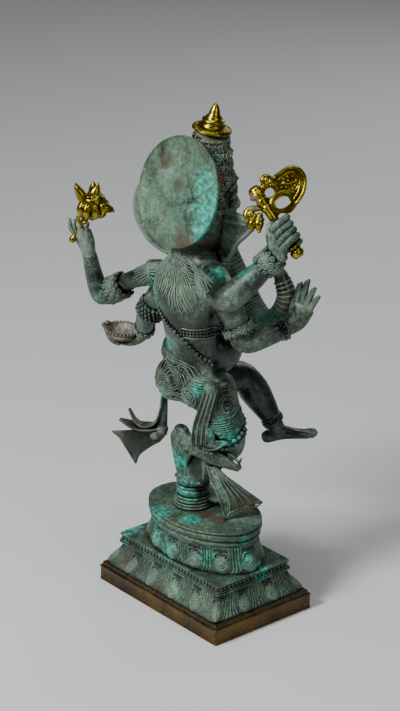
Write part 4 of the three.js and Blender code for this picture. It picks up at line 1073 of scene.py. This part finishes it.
def build_goad():
    along = (Vector(GOAD_HEAD) - Vector(GOAD_BUTT)).normalized()
    head = Vector(GOAD_HEAD)
    # Aside is the way from the head to the figure's left, and back is the way behind it
    aside = Vector((0.64, 0.77, 0))
    back = Vector((-0.77, 0.64, 0))

    def spot(side, rise, rear=0.0):
        return (head + aside * side + Z * rise + back * rear)[:]
    parts = [turned([(0, -3.0), (2.2, -2.4), (3.0, 0), (2.2, 2.4), (1.8, 3.6), (1.8, 26), (2.8, 27), (2.8, 29), (2.2, 30), (2.6, 34), (0, 36)], 20,
                    centre=GOAD_BUTT, along=along)]
    parts.append(limb([[*spot(3, -14), 6], [*spot(3, -9), 9.6], [*spot(2, -3), 10.4], [*spot(1, 1), 9.4], [*spot(1, 3), 6]], segments=24))
    # Two horns on top, the left one curved like a claw
    parts.append(limb([[*spot(10.4, -1), 4.2], [*spot(12.6, 3.6), 4.2], [*spot(14.8, 8.4), 3.2], [*spot(16.2, 12.4), 1.2]], segments=16, per_span=4))
    parts.append(limb([[*spot(2.4, 1, 2), 5.0], [*spot(0.6, 5.4, 2), 4.8], [*spot(-1.2, 9.6, 2), 3.2], [*spot(-2.4, 13.4, 2), 1.0]], segments=16, per_span=4))
    parts.append(limb([[*spot(2, 1, -8), 4.6], [*spot(2, 6, -10), 3.8], [*spot(2, 10.4, -10), 1]], segments=14, per_span=4))
    # The petal that points right, and lobes that hang all round
    parts.append(limb([[*spot(-3, -6, 4), 4.4], [*spot(-8, -7, 4), 4.6], [*spot(-12.4, -9, 3), 3.2], [*spot(-15, -11, 2), 1.2]], segments=16, per_span=4))
    for n in range(8):
        a = n / 8 * 2 * math.pi + 0.3
        side, rear = 9.4 * math.cos(a), 8.6 * math.sin(a)
        parts.append(limb([[*spot(2.6 + side * 0.8, -4, rear * 0.8), 3.4], [*spot(2.6 + side * 1.06, -8.6, rear * 1.06), 3.9],
                           [*spot(2.6 + side * 0.96, -13.4, rear * 0.96), 3.2], [*spot(2.6 + side * 0.7, -16, rear * 0.7), 1.4]],
                          segments=12, per_span=3))
    # Rows of small leaves round the top
    for row in range(3):
        count = 12 - 2 * row
        for n in range(count):
            a = (n + 0.5 * (row % 2)) / count * 2 * math.pi
            out = Vector((math.cos(a), math.sin(a), 0))
            middle = head + aside * 1.5 + out * (11 - 2.4 * row) + Z * (-4.4 + 3.2 * row)
            parts.append(ball(middle[:], (2.7, 2.0, 1.8), turn=towards(out + Z * 0.5), fine=10))
    # The golden curl on the shaft above the fingers
    loop = head - along * 20.5 + aside * 1.5
    parts.append(bangle(loop + back * 1.5, back, 3.6, 1.7, segments=20))
    parts.append(ball((loop + aside * 1 - Z * 5)[:], (2.6, 2.4, 3)))
    return parts


def build_bowl():
    x, y, z = BOWL_CENTRE
    dish = turned([(0, -9), (9, -9), (10, -8), (14, -6.4), (17, -3), (17.4, -0.8), (16.6, 0), (15.6, -0.6), (13.6, -4.6), (8.6, -7), (0, -7.2)], 48,
                  centre=BOWL_CENTRE, oval=15 / 18)
    parts = [dish]
    for n in range(30):
        a = n / 30 * 2 * math.pi
        parts.append(bead((x + 17 * math.cos(a), y + 14.2 * math.sin(a), z - 0.4), 1.55, 2))
    for k in (-4.2, -6.4):
        grow = 16.4 if k > -5 else 13.8
        parts.append(bangle((x, y, z + k), (0, 0, 1), grow, 0.9, oval=15 / 18, segments=48))
    # The two knobs at its outer end
    parts += [ball((x + 17.4, y + 3, z + 0.4), (2.8, 2.8, 2.4)), ball((x + 16, y + 8, z + 0.6), (2.4, 2.4, 2.2))]
    return parts


def build_cap():
    parts = [turned([(0, -1.4), (12, -1.4), (15.6, -0.9), (16.7, -0.1), (16.4, 0.7), (14.6, 2.0), (11.6, 3.2), (10.2, 3.6), (10.4, 4.4),
                     (8.4, 5.4), (8.2, 6.4), (9.4, 7.2), (9.4, 8.2), (7.4, 9.2), (6.6, 10), (6.8, 10.8), (5.2, 12), (4.6, 14), (3.6, 17.4),
                     (2.2, 20.4), (1.0, 22), (0, 22.5)], 64, centre=CAP_FOOT, along=CAP_LEAN)]
    turn = towards(CAP_LEAN)
    for n in range(44):
        a = n / 44 * 2 * math.pi
        inner = Vector(CAP_FOOT) + turn @ Vector((11 * math.cos(a), 11 * math.sin(a), 3.2))
        outer = Vector(CAP_FOOT) + turn @ Vector((16 * math.cos(a), 16 * math.sin(a), 1.0))
        parts.append(strand([inner, inner.lerp(outer, 0.5) + Z * 0.15, outer], 0.45, sides=5, taper=0.8))
    return parts


def build_halo():
    r = HALO_RADIUS
    profile = [(0, -1.5), (r - 1, -1.5), (r - 0.3, -1.2), (r, -0.4), (r, 1.0), (r - 0.3, 1.7), (r - 0.9, 1.9), (r - 1.4, 1.5), (r - 1.7, 0.8),
               (r - 2.4, 0.5), (r - 4, 0.7), (r - 8, 0.8), (r - 16, 0.8), (r - 26, 0.8), (12, 0.8), (0, 0.8)]
    plate_shape = turned(profile, 96, centre=HALO_CENTRE[:], along=HALO_FACING)
    bmesh.ops.subdivide_edges(plate_shape, edges=[e for e in plate_shape.edges if e.calc_length() > 4], cuts=2, use_grid_fill=True)
    for vert in plate_shape.verts:
        # Cast plates are never quite flat
        vert.co += HALO_FACING * 0.45 * (noise.noise(vert.co / 17.0) + 0.4 * noise.noise(vert.co / 6.0))
    return plate_shape


# Plinth and slab

def rounded_rectangle(half_x, half_y, corner, per_corner, per_long, per_short):
    """Points round a rectangle with rounded corners, with the way out at each, anticlockwise from the +X side."""
    points = []
    sides = (((half_x, -half_y + corner), (half_x, half_y - corner), (1, 0), per_short),
             ((half_x - corner, half_y), (-half_x + corner, half_y), (0, 1), per_long),
             ((-half_x, half_y - corner), (-half_x, -half_y + corner), (-1, 0), per_short),
             ((-half_x + corner, -half_y), (half_x - corner, -half_y), (0, -1), per_long))
    for index, (start, end, out, count) in enumerate(sides):
        for k in range(count):
            t = k / count
            points.append(((start[0] + (end[0] - start[0]) * t, start[1] + (end[1] - start[1]) * t), out))
        centre = (end[0] - out[0] * corner, end[1] - out[1] * corner)
        base = math.atan2(out[1], out[0])
        for k in range(per_corner):
            a = base + k / per_corner * math.pi / 2
            points.append(((centre[0] + corner * math.cos(a), centre[1] + corner * math.sin(a)), (math.cos(a), math.sin(a))))
    return points


def stacked(rows, outline_at):
    """A closed body over rows: outline_at(row) gives the points of each row. The first and last rows are capped.

    A fourth number of a point is kept on the mesh as its relief."""
    rings = [outline_at(row) for row in rows]
    around = len(rings[0])
    bm = bmesh.new()
    bmesh.ops.create_grid(bm, x_segments=around, y_segments=len(rings) - 1, size=0.5)
    relief = bm.verts.layers.float.new("relief")
    for vert in bm.verts:
        i = round((vert.co.x + 0.5) * around) % around
        k = round((vert.co.y + 0.5) * (len(rings) - 1))
        vert.co = rings[k][i].xyz
        if len(rings[k][i]) == 4:
            vert[relief] = rings[k][i].w
    bmesh.ops.remove_doubles(bm, verts=bm.verts, dist=0.0005)
    bmesh.ops.holes_fill(bm, edges=[edge for edge in bm.edges if edge.is_boundary], sides=0)
    bmesh.ops.recalc_face_normals(bm, faces=bm.faces)
    return bm


def petal_relief(across, up, lobe, top, pitch):
    """How far a lotus petal stands out at a place, in millimetres across its middle and up from its foot.

    A swollen lobe hangs at the foot, rounded ribs run up between the petals, and scrolls are cut above the lobe.
    """
    centre = lobe + 0.4
    distance = math.hypot(across, up - centre) if up < centre else abs(across)
    rib = (pitch / 2 - lobe) / round((pitch / 2 - lobe) / 2.9)
    rise = 0.0
    if distance > lobe:
        rise = 1.25 * abs(math.cos(math.pi * (distance - pitch / 2) / rib)) ** 0.7 * min(1.0, up / 2.5)
    bulb = math.hypot(across / (lobe - 0.2), (up - lobe) / (lobe if up < lobe else lobe * 1.25))
    if bulb < 1:
        rise = max(rise, 3.4 * (1 - bulb * bulb) ** 0.6)
    if distance < lobe and bulb > 0.8:
        rise = max(rise, 0.9 * min(1.0, max(0.0, abs(across) / lobe - 0.72) * 6))
    for side in (-1, 1):
        aside, above = across * side - lobe * 0.45, up - lobe * 2.05
        reach = math.hypot(aside, above)
        if reach < lobe * 0.5:
            rise = max(rise, 0.9 + 0.9 * math.cos(2 * math.pi * reach / 2.8 - math.atan2(above, aside)))
    leaf = math.hypot(across, up - lobe)
    if leaf < lobe * 0.75:
        rise += 0.7 * math.cos(2 * math.pi * leaf / 3.0) * (1 - leaf / (lobe * 0.75))
    return rise if up < top - 0.8 else rise * 0.4


LOWER = {"foot": (76.4, 51), "neck": (66.6, 39.3), "bottom": 18.3, "top": 39}
UPPER = {"foot": (63.5, 37.6), "neck": (57.5, 34.5), "bottom": 46.2, "top": 70}
PLATFORM_X = -1.5
PLATFORM_HALF = (60.2, 40.3)
PLATFORM_TOP = 84.7
BAND_TOP = 46.7


def build_lower_lotus():
    rows = 44
    long_petals, short_petals, per_petal = 5, 3, 56
    slant = 23

    def outline_at(k):
        height = k / rows
        rise = 1 - (1 - height) ** 1.4
        half = [foot_half + (neck - foot_half) * rise for foot_half, neck in zip(LOWER["foot"], LOWER["neck"])]
        ring = []
        corners = ((1, 1), (-1, 1), (-1, -1), (1, -1))
        for side in range(4):
            petals = long_petals if side % 2 == 0 else short_petals
            count = petals * per_petal
            start, end = corners[side], corners[(side + 1) % 4]
            pitch = 2 * half[side % 2] / petals
            straight = Vector((0, start[1], 0)) if side % 2 == 0 else Vector((start[0], 0, 0))
            for n in range(count):
                t = n / count
                place = n / per_petal - round(n / per_petal)
                push = petal_relief(place * pitch, height * slant, 6.9, slant, pitch)
                corner_share = max(0.0, 1 - min(n, count - n) / (per_petal * 0.42))
                corner_way = Vector((*(start if n < count / 2 else end), 0)).normalized()
                out = straight.lerp(corner_way * 1.1, corner_share)
                point = Vector((half[0] * (start[0] + (end[0] - start[0]) * t), half[1] * (start[1] + (end[1] - start[1]) * t), 0))
                point -= corner_way * 2.8 * corner_share ** 2
                point += out * (push - 0.4)
                point.z = LOWER["bottom"] + height * (LOWER["top"] - LOWER["bottom"])
                ring.append(Vector((*point, push)))
        return ring
    return stacked(range(rows + 1), outline_at)


def build_upper_lotus():
    rows = 46
    petals, per_petal = 12, 64
    slant = 24.5
    lengths = [0]
    for n in range(1440):
        a, b = n / 1440 * 2 * math.pi, (n + 1) / 1440 * 2 * math.pi
        lengths.append(lengths[-1] + math.hypot(60 * (math.cos(b) - math.cos(a)), 36 * (math.sin(b) - math.sin(a))))
    pitch = lengths[-1] / petals
    angles = []
    step = 0
    for n in range(petals * per_petal):
        while lengths[step + 1] < n / per_petal * pitch:
            step += 1
        angles.append((step + (n / per_petal * pitch - lengths[step]) / (lengths[step + 1] - lengths[step])) / 1440 * 2 * math.pi)

    def outline_at(k):
        height = k / rows
        rise = 1 - (1 - height) ** 1.4
        half = [foot_half + (neck - foot_half) * rise for foot_half, neck in zip(UPPER["foot"], UPPER["neck"])]
        ring = []
        for n, a in enumerate(angles):
            place = n / per_petal - round(n / per_petal)
            push = petal_relief(place * pitch, height * slant, 7.6, slant, pitch)
            ring.append(Vector((PLATFORM_X + math.cos(a) * (half[0] + push - 0.4), math.sin(a) * (half[1] + push - 0.4),
                                UPPER["bottom"] + height * (UPPER["top"] - UPPER["bottom"]), push)))
        return ring
    return stacked(range(rows + 1), outline_at)


def build_band():
    """The ledge between the tiers: a cord moulding, the roped band with its slanting strokes, and a flat top."""
    half_x, half_y = LOWER["neck"][0] + 1, LOWER["neck"][1] + 1
    profile = [(-3, 37), (-0.6, 37.2), (0.7, 37.8), (1.0, 38.5), (0.7, 39.2), (-0.4, 39.5), (0.3, 39.9), (0.5, 40.4), (0.2, 40.9), (-1.0, 41.2),
               (-1.5, 41.6), (-1.5, 44.4), (-1.2, 44.8), (0.1, 45.1), (0.5, 45.7), (0.2, 46.4), (-0.9, 46.9), (-2.0, 46.8), (-3, 46.4), (-16, 46.5)]

    def outline_at(row):
        grow, z = row
        return [Vector((*point, z)) for point, _ in rounded_rectangle(half_x + grow, half_y + grow, 2.2, 6, 24, 14)]
    parts = [stacked(profile, outline_at)]
    for side in range(4):
        length = 2 * ((half_x if side % 2 == 0 else half_y) - 1.6)
        count = round(length / 4.3)
        for n in range(count):
            t = (n + 0.5) / count * length - length / 2
            stroke = bmesh.new()
            bmesh.ops.create_cube(stroke, size=1, matrix=Matrix.Translation((t, (half_y if side % 2 == 0 else half_x) - 1.2, 43))
                                  @ Matrix.Rotation(math.radians(24), 4, "Y") @ Matrix.Diagonal((2.6, 2.2, 4.0, 1)))
            bmesh.ops.bevel(stroke, geom=stroke.edges[:], offset=0.7, segments=1, profile=0.5, affect="EDGES", material=-1)
            bmesh.ops.rotate(stroke, cent=(0, 0, 0), matrix=Matrix.Rotation(side * math.pi / 2, 3, "Z"), verts=stroke.verts)
            parts.append(stroke)
    return parts


def build_platform():
    profile = [(-6, 67), (-3.4, 68.6), (-3.2, 70.4), (-2.2, 71.2), (-1.4, 72.2), (-1.3, 73.2), (-1.9, 74.2), (-3.0, 74.8), (-3.2, 75.4),
               (-2.4, 75.9), (-1.2, 76.6), (-0.4, 77.8), (0, 79.2), (-0.1, 80.6), (-0.7, 81.6), (-1.7, 82), (-1.8, 82.5), (-0.8, 82.8),
               (-0.2, 83.4), (-0.3, 84.2), (-1.0, 84.7), (-2.2, 84.6), (-3.2, 84.1), (-4.6, 84.1), (-6, 84.4), (-12, 84.5), (-24, 84.7)]

    def outline_at(row):
        grow, z = row
        ring = []
        for n in range(120):
            a = n / 120 * 2 * math.pi
            ring.append(Vector((PLATFORM_X + math.cos(a) * (PLATFORM_HALF[0] + grow), math.sin(a) * (PLATFORM_HALF[1] + grow), z)))
        return ring
    platform = stacked(profile, outline_at)
    for vert in platform.verts:
        vert.co += Vector((vert.co.x, vert.co.y, 0)).normalized() * 0.35 * noise.noise(vert.co / 8.0)
        vert.co.z += 0.3 * noise.noise(vert.co / 11.0) * (1 if vert.co.z > 80 else 0)
    return platform


def build_slab():
    profile = [(-1.2, 0), (-0.3, 0.3), (0.2, 0.8), (0.2, 1.6), (-0.2, 2.1), (-0.2, 12.6), (0.2, 13.1), (0.3, 13.9), (-0.1, 14.5), (-0.8, 14.7),
               (-1.4, 14.5), (-1.6, 15.0), (-1.6, 16.6), (-1.9, 17.5), (-2.6, 18), (-4.2, 18), (-4.8, 17.6), (-12, 17.6)]

    def outline_at(row):
        grow, z = row
        return [Vector((*point, z)) for point, _ in rounded_rectangle(80 + grow, 53.8 + grow, 0.9, 4, 40, 28)]
    slab = stacked(profile, outline_at)
    for vert in slab.verts:
        # Worn and slightly wavy edges
        if vert.co.z > 0.6:
            vert.co += Vector((1, 1, 0)) * 0.22 * noise.noise(vert.co / 9.0)
    return slab


# Finishes

bronze_figure = verdigris_bronze(
    "verdigris_on_cast_bronze",
    turquoise=[((38, 26, 284), 18), ((-48, 22, 318), 16), ((-74, 14, 326), 16), ((-40, 6, 166), 22), ((-46, 4, 187), 12), ((95, 36, 264), 10),
               ((22, 24, 278), 12), ((14, 14, 128), 16), ((4, 14, 104), 15), ((-24, -54, 252), 16), ((-34, -52, 262), 12), ((24, 30, 188), 12),
               ((64, 8, 256), 12), ((-22, 24, 208), 10), ((20, 22, 240), 9)],
    brown=[((34, 26, 216), 12), ((30, 28, 204), 10), ((-4, -2, 330), 18), ((-42, -52, 280), 16), ((-2, 10, 127), 12), ((60, 22, 136), 30), ((-38, -14, 96), 16),
           ((-24, -10, 146), 10), ((-8, 14, 316), 12)],
    # Painted shade: the dark patches on the upper trunk, the belly and the right flank stand for shadow; the others are
    # bare handled bronze
    rubbed_and_shaded=[((-56, 28, 304), 24), ((-78, 14, 322), 14), ((62, 18, 286), 22), ((4, -40, 190), 36), ((-8, -64, 158), 24), ((-22, -84, 138), 22),
            ((-42, -50, 290), 14), ((6, 22, 262), 22), ((-6, 18, 236), 20), ((-2, 10, 127), 12), ((20, -38, 318), 26), ((94, 38, 270), 10), ((-20, 8, 262), 22),
            ((-10, -10, 240), 26), ((60, 22, 136), 26)],
    carved=[((24, 26, 204), 40), ((-30, 10, 180), 40), ((14, 14, 136), 26), ((-14, 8, 146), 24), ((20, 26, 228), 16), ((96, 42, 290), 26)])
bronze_crown = verdigris_bronze("verdigris_on_crown", turquoise=[((-18, 6, 404), 9)], tones=("1d231c", "4d5746", "7c8772", "a9b29e"), cover=0.2, hollow_shade=0.72)
bronze_halo = verdigris_bronze(
    "verdigris_on_halo",
    turquoise=[((-28, 22, 372), 25), ((-31, 23, 352), 18), ((-22, 20, 390), 15)],
    brown=[((-14, 32, 338), 16), ((28, 16, 396), 11), ((12, 34, 331), 8), ((6, 20, 380), 8)],
    tones=("22332a", "3f5a48", "587763", "7b9c87"), cover=0.4, grain=0.7)
plinth_finish = {
    "turquoise": [((18, 36, 84), 14), ((22, 40, 62), 17), ((4, 44, 56), 16), ((64, 34, 46), 15), ((70, 20, 46), 10), ((-40, 34, 60), 13),
                  ((-66, -10, 44), 12), ((-62, 4, 58), 11), ((20, 50, 36), 9), ((44, 38, 54), 9), ((-12, 24, 84), 11), ((-58, 6, 74), 10),
                  ((36, 34, 74), 11)],
    "brown": [((-12, 10, 84.7), 14), ((-30, 6, 84.7), 11), ((50, 46, 30), 11), ((0, 54, 20), 11), ((-60, 40, 47), 9), ((46, 34, 60), 10)],
    "tones": ("131d17", "2f4638", "4f6f5b", "7d9f88"), "cover": 0.3}
bronze_plinth = verdigris_bronze("verdigris_on_plinth", **plinth_finish)
bronze_lotus = verdigris_bronze("verdigris_on_lotus_petals", relief=True, **plinth_finish)
gilt_tools = gilt_bronze("polished_golden_bronze", grey=[((-63, -13, 397), 7), ((-59, 4, 393), 6), ((-66, 5, 381), 9), ((-96, -11, 349), 5)])
# Painted shade: the bowl's darker tones and dull grey stand partly for the shade inside it
gilt_bowl = gilt_bronze("dull_golden_bronze", grey=[((104, 6, 214), 26)], tones=("2a2410", "5a4f22", "9a8c4a"))


def bare_slab_bronze():
    """Bare cast bronze, dark golden brown, worn bright along its raised lips, with painted shade in its recesses."""
    material, tree, shader = new_material("bare_golden_brown_bronze")
    place = add(tree, "ShaderNodeTexCoord").outputs["Object"]
    broad = mottle(tree, place, 26, 5, 0.6, 0.3)
    close = mottle(tree, place, 1.6, 4)
    colour = ramp(tree, mix_value(tree, 0.35, broad, close), (0.32, "1a1205"), (0.46, "372606"), (0.58, "5a440c"), (0.7, "7d6217"))
    specks = sharpen(tree, mottle(tree, place, 0.9, 2, 0.5), 0.7, 0.76)
    colour = mix(tree, maths(tree, "MULTIPLY", specks, 0.7), colour, linear("a08c50"))
    height = add(tree, "ShaderNodeSeparateXYZ", Vector=place).outputs["Z"]
    ledge = sharpen(tree, height, 0.0148, 0.0156)
    grime = ramp(tree, close, (0.35, "1d1a12"), (0.6, "3f3b2c"))
    colour = mix(tree, maths(tree, "MULTIPLY", ledge, 0.75), colour, grime)
    edge = add(tree, "ShaderNodeAmbientOcclusion", {"samples": 6, "inside": True}, Distance=0.0012).outputs["AO"]
    worn = maths(tree, "MULTIPLY", sharpen(tree, edge, 0.6, 0.3), sharpen(tree, mottle(tree, place, 5, 4), 0.42, 0.56))
    colour = mix(tree, maths(tree, "MULTIPLY", worn, 0.8), colour, linear("bba867"))
    # Painted shade: recesses that the occlusion node finds are darkened to near black
    hollow = add(tree, "ShaderNodeAmbientOcclusion", {"samples": 8}, Distance=0.003).outputs["AO"]
    colour = mix(tree, maths(tree, "MULTIPLY", sharpen(tree, hollow, 0.8, 0.4), 0.85), colour, linear("0d0903"))
    tree.links.new(colour, shader.inputs["Base Color"])
    tree.links.new(mix_value(tree, close, 0.28, 0.5), shader.inputs["Roughness"])
    shader.inputs["Metallic"].default_value = 0.55
    bump = add(tree, "ShaderNodeBump", Strength=0.3, Distance=0.0004, Height=close)
    tree.links.new(bump.outputs["Normal"], shader.inputs["Normal"])
    return material


def red_stone():
    """A dull red glass stone set in the crown."""
    material, tree, shader = new_material("red_glass_stone")
    place = add(tree, "ShaderNodeTexCoord").outputs["Object"]
    tree.links.new(ramp(tree, mottle(tree, place, 1.2), (0.35, "5a0d12"), (0.65, "a8232c")), shader.inputs["Base Color"])
    shader.inputs["Roughness"].default_value = 0.25
    return material


# The finished pieces

finished("figure_body", body_skin, bronze_figure, "figure_bronze", "figure")
finished("figure_ears", join(build_ears()), bronze_figure, "figure_bronze")
finished("figure_hands", join(build_open_hand(), build_left_hands(),
                              build_fist(FIST_RIGHT, Vector(AXE_TOP) - Vector(AXE_POMMEL), 7.2, (0.345, 0.767, -0.534))), bronze_figure, "figure_bronze")
finished("figure_face", join(build_face()), bronze_figure, "figure_bronze")
finished("figure_hair", join(build_hair()), bronze_figure, "figure_bronze")
finished("figure_cords", join(build_cords()), bronze_figure, "figure_bronze")
finished("figure_chasing", join(build_chasing()), bronze_figure, "figure_bronze")
finished("figure_bracelets", join(build_bracelets(), build_anklet()), bronze_figure, "figure_bronze")
finished("figure_crown", behind_halo(join(build_crown())), bronze_crown, "figure_bronze")
finished("figure_leg_cloth", build_leg_cloth(), bronze_figure, "figure_bronze")
finished("figure_skirt_ends", join(build_skirt_ends()), bronze_figure, "figure_bronze")
finished("figure_sash", join(build_sash()), bronze_figure, "figure_bronze")
finished("figure_flying_cloth", join(build_flying_cloth()), bronze_figure, "figure_bronze")
finished("crown_stone", ball((-19.5, -2, 388), (2.4, 2.4, 2.4)), red_stone(), "figure_bronze")
finished("halo", build_halo(), bronze_halo, "halo_bronze", "halo_plate")
finished("golden_cap", join(build_cap()), gilt_tools, "gilt_bronze", "crown_cap")
finished("golden_axe", join(build_axe()), gilt_tools, "gilt_bronze", "axe")
finished("golden_goad", join(build_goad()), gilt_tools, "gilt_bronze", "goad")
finished("golden_bowl", join(build_bowl()), gilt_bowl, "gilt_bronze", "bowl")
finished("lower_lotus", build_lower_lotus(), bronze_lotus, "plinth_bronze", "lotus_plinth")
finished("upper_lotus", build_upper_lotus(), bronze_lotus, "plinth_bronze")
finished("plinth_band", join(build_band()), bronze_plinth, "plinth_bronze", sharp=40)
finished("plinth_platform", build_platform(), bronze_plinth, "plinth_bronze", sharp=50)
finished("slab", build_slab(), bare_slab_bronze(), "slab_bronze", "base_slab", sharp=40)


# Floor, light and camera

def matt_paint(name, colour):
    material, tree, shader = new_material(name)
    shader.inputs["Base Color"].default_value = linear(colour)
    shader.inputs["Roughness"].default_value = 0.85
    return material


floor_mesh = bpy.data.meshes.new("floor")
floor_shape = bmesh.new()
bmesh.ops.create_grid(floor_shape, x_segments=1, y_segments=1, size=6)
floor_shape.to_mesh(floor_mesh)
floor_shape.free()
floor = bpy.data.objects.new("floor", floor_mesh)
bpy.context.scene.collection.objects.link(floor)
floor_mesh.materials.append(matt_paint("pale_floor_paint", "d4d6d6"))


def soft_light(name, place, size, power, aim=(0.0, 0.0, 0.23)):
    lamp = bpy.data.lights.new(name, "AREA")
    lamp.shape = "DISK"
    lamp.size = size
    lamp.energy = power
    holder = bpy.data.objects.new(name, lamp)
    holder.location = place
    holder.rotation_euler = (Vector(aim) - Vector(place)).to_track_quat("-Z", "Y").to_euler()
    bpy.context.scene.collection.objects.link(holder)


soft_light("key_softbox", (0.1, 1.6, 1.5), 0.6, 52)
soft_light("side_softbox", (-1.7, 0.1, 0.9), 0.9, 5)
soft_light("top_softbox", (-0.2, 0.2, 1.9), 1.2, 9)
soft_light("front_softbox", (0.6, -1.6, 1.0), 1.2, 6)

world = bpy.data.worlds.new("studio")
bpy.context.scene.world = world
world.use_nodes = True
world.node_tree.nodes["Background"].inputs["Color"].default_value = linear("c3c8cb")
world.node_tree.nodes["Background"].inputs["Strength"].default_value = 0.13

lens = bpy.data.cameras.new("photo_camera")
lens.lens = 121.5
lens.clip_end = 50
camera = bpy.data.objects.new("photo_camera", lens)
right = Vector((-0.63550, -0.77210, -0.00242))
up = Vector((0.29280, -0.24390, 0.92454))
camera.matrix_world = (Matrix.Translation((-1.44553, 1.19113, 0.99805))
                       @ Matrix((right, up, right.cross(up))).transposed().to_4x4())
bpy.context.scene.collection.objects.link(camera)
bpy.context.scene.camera = camera
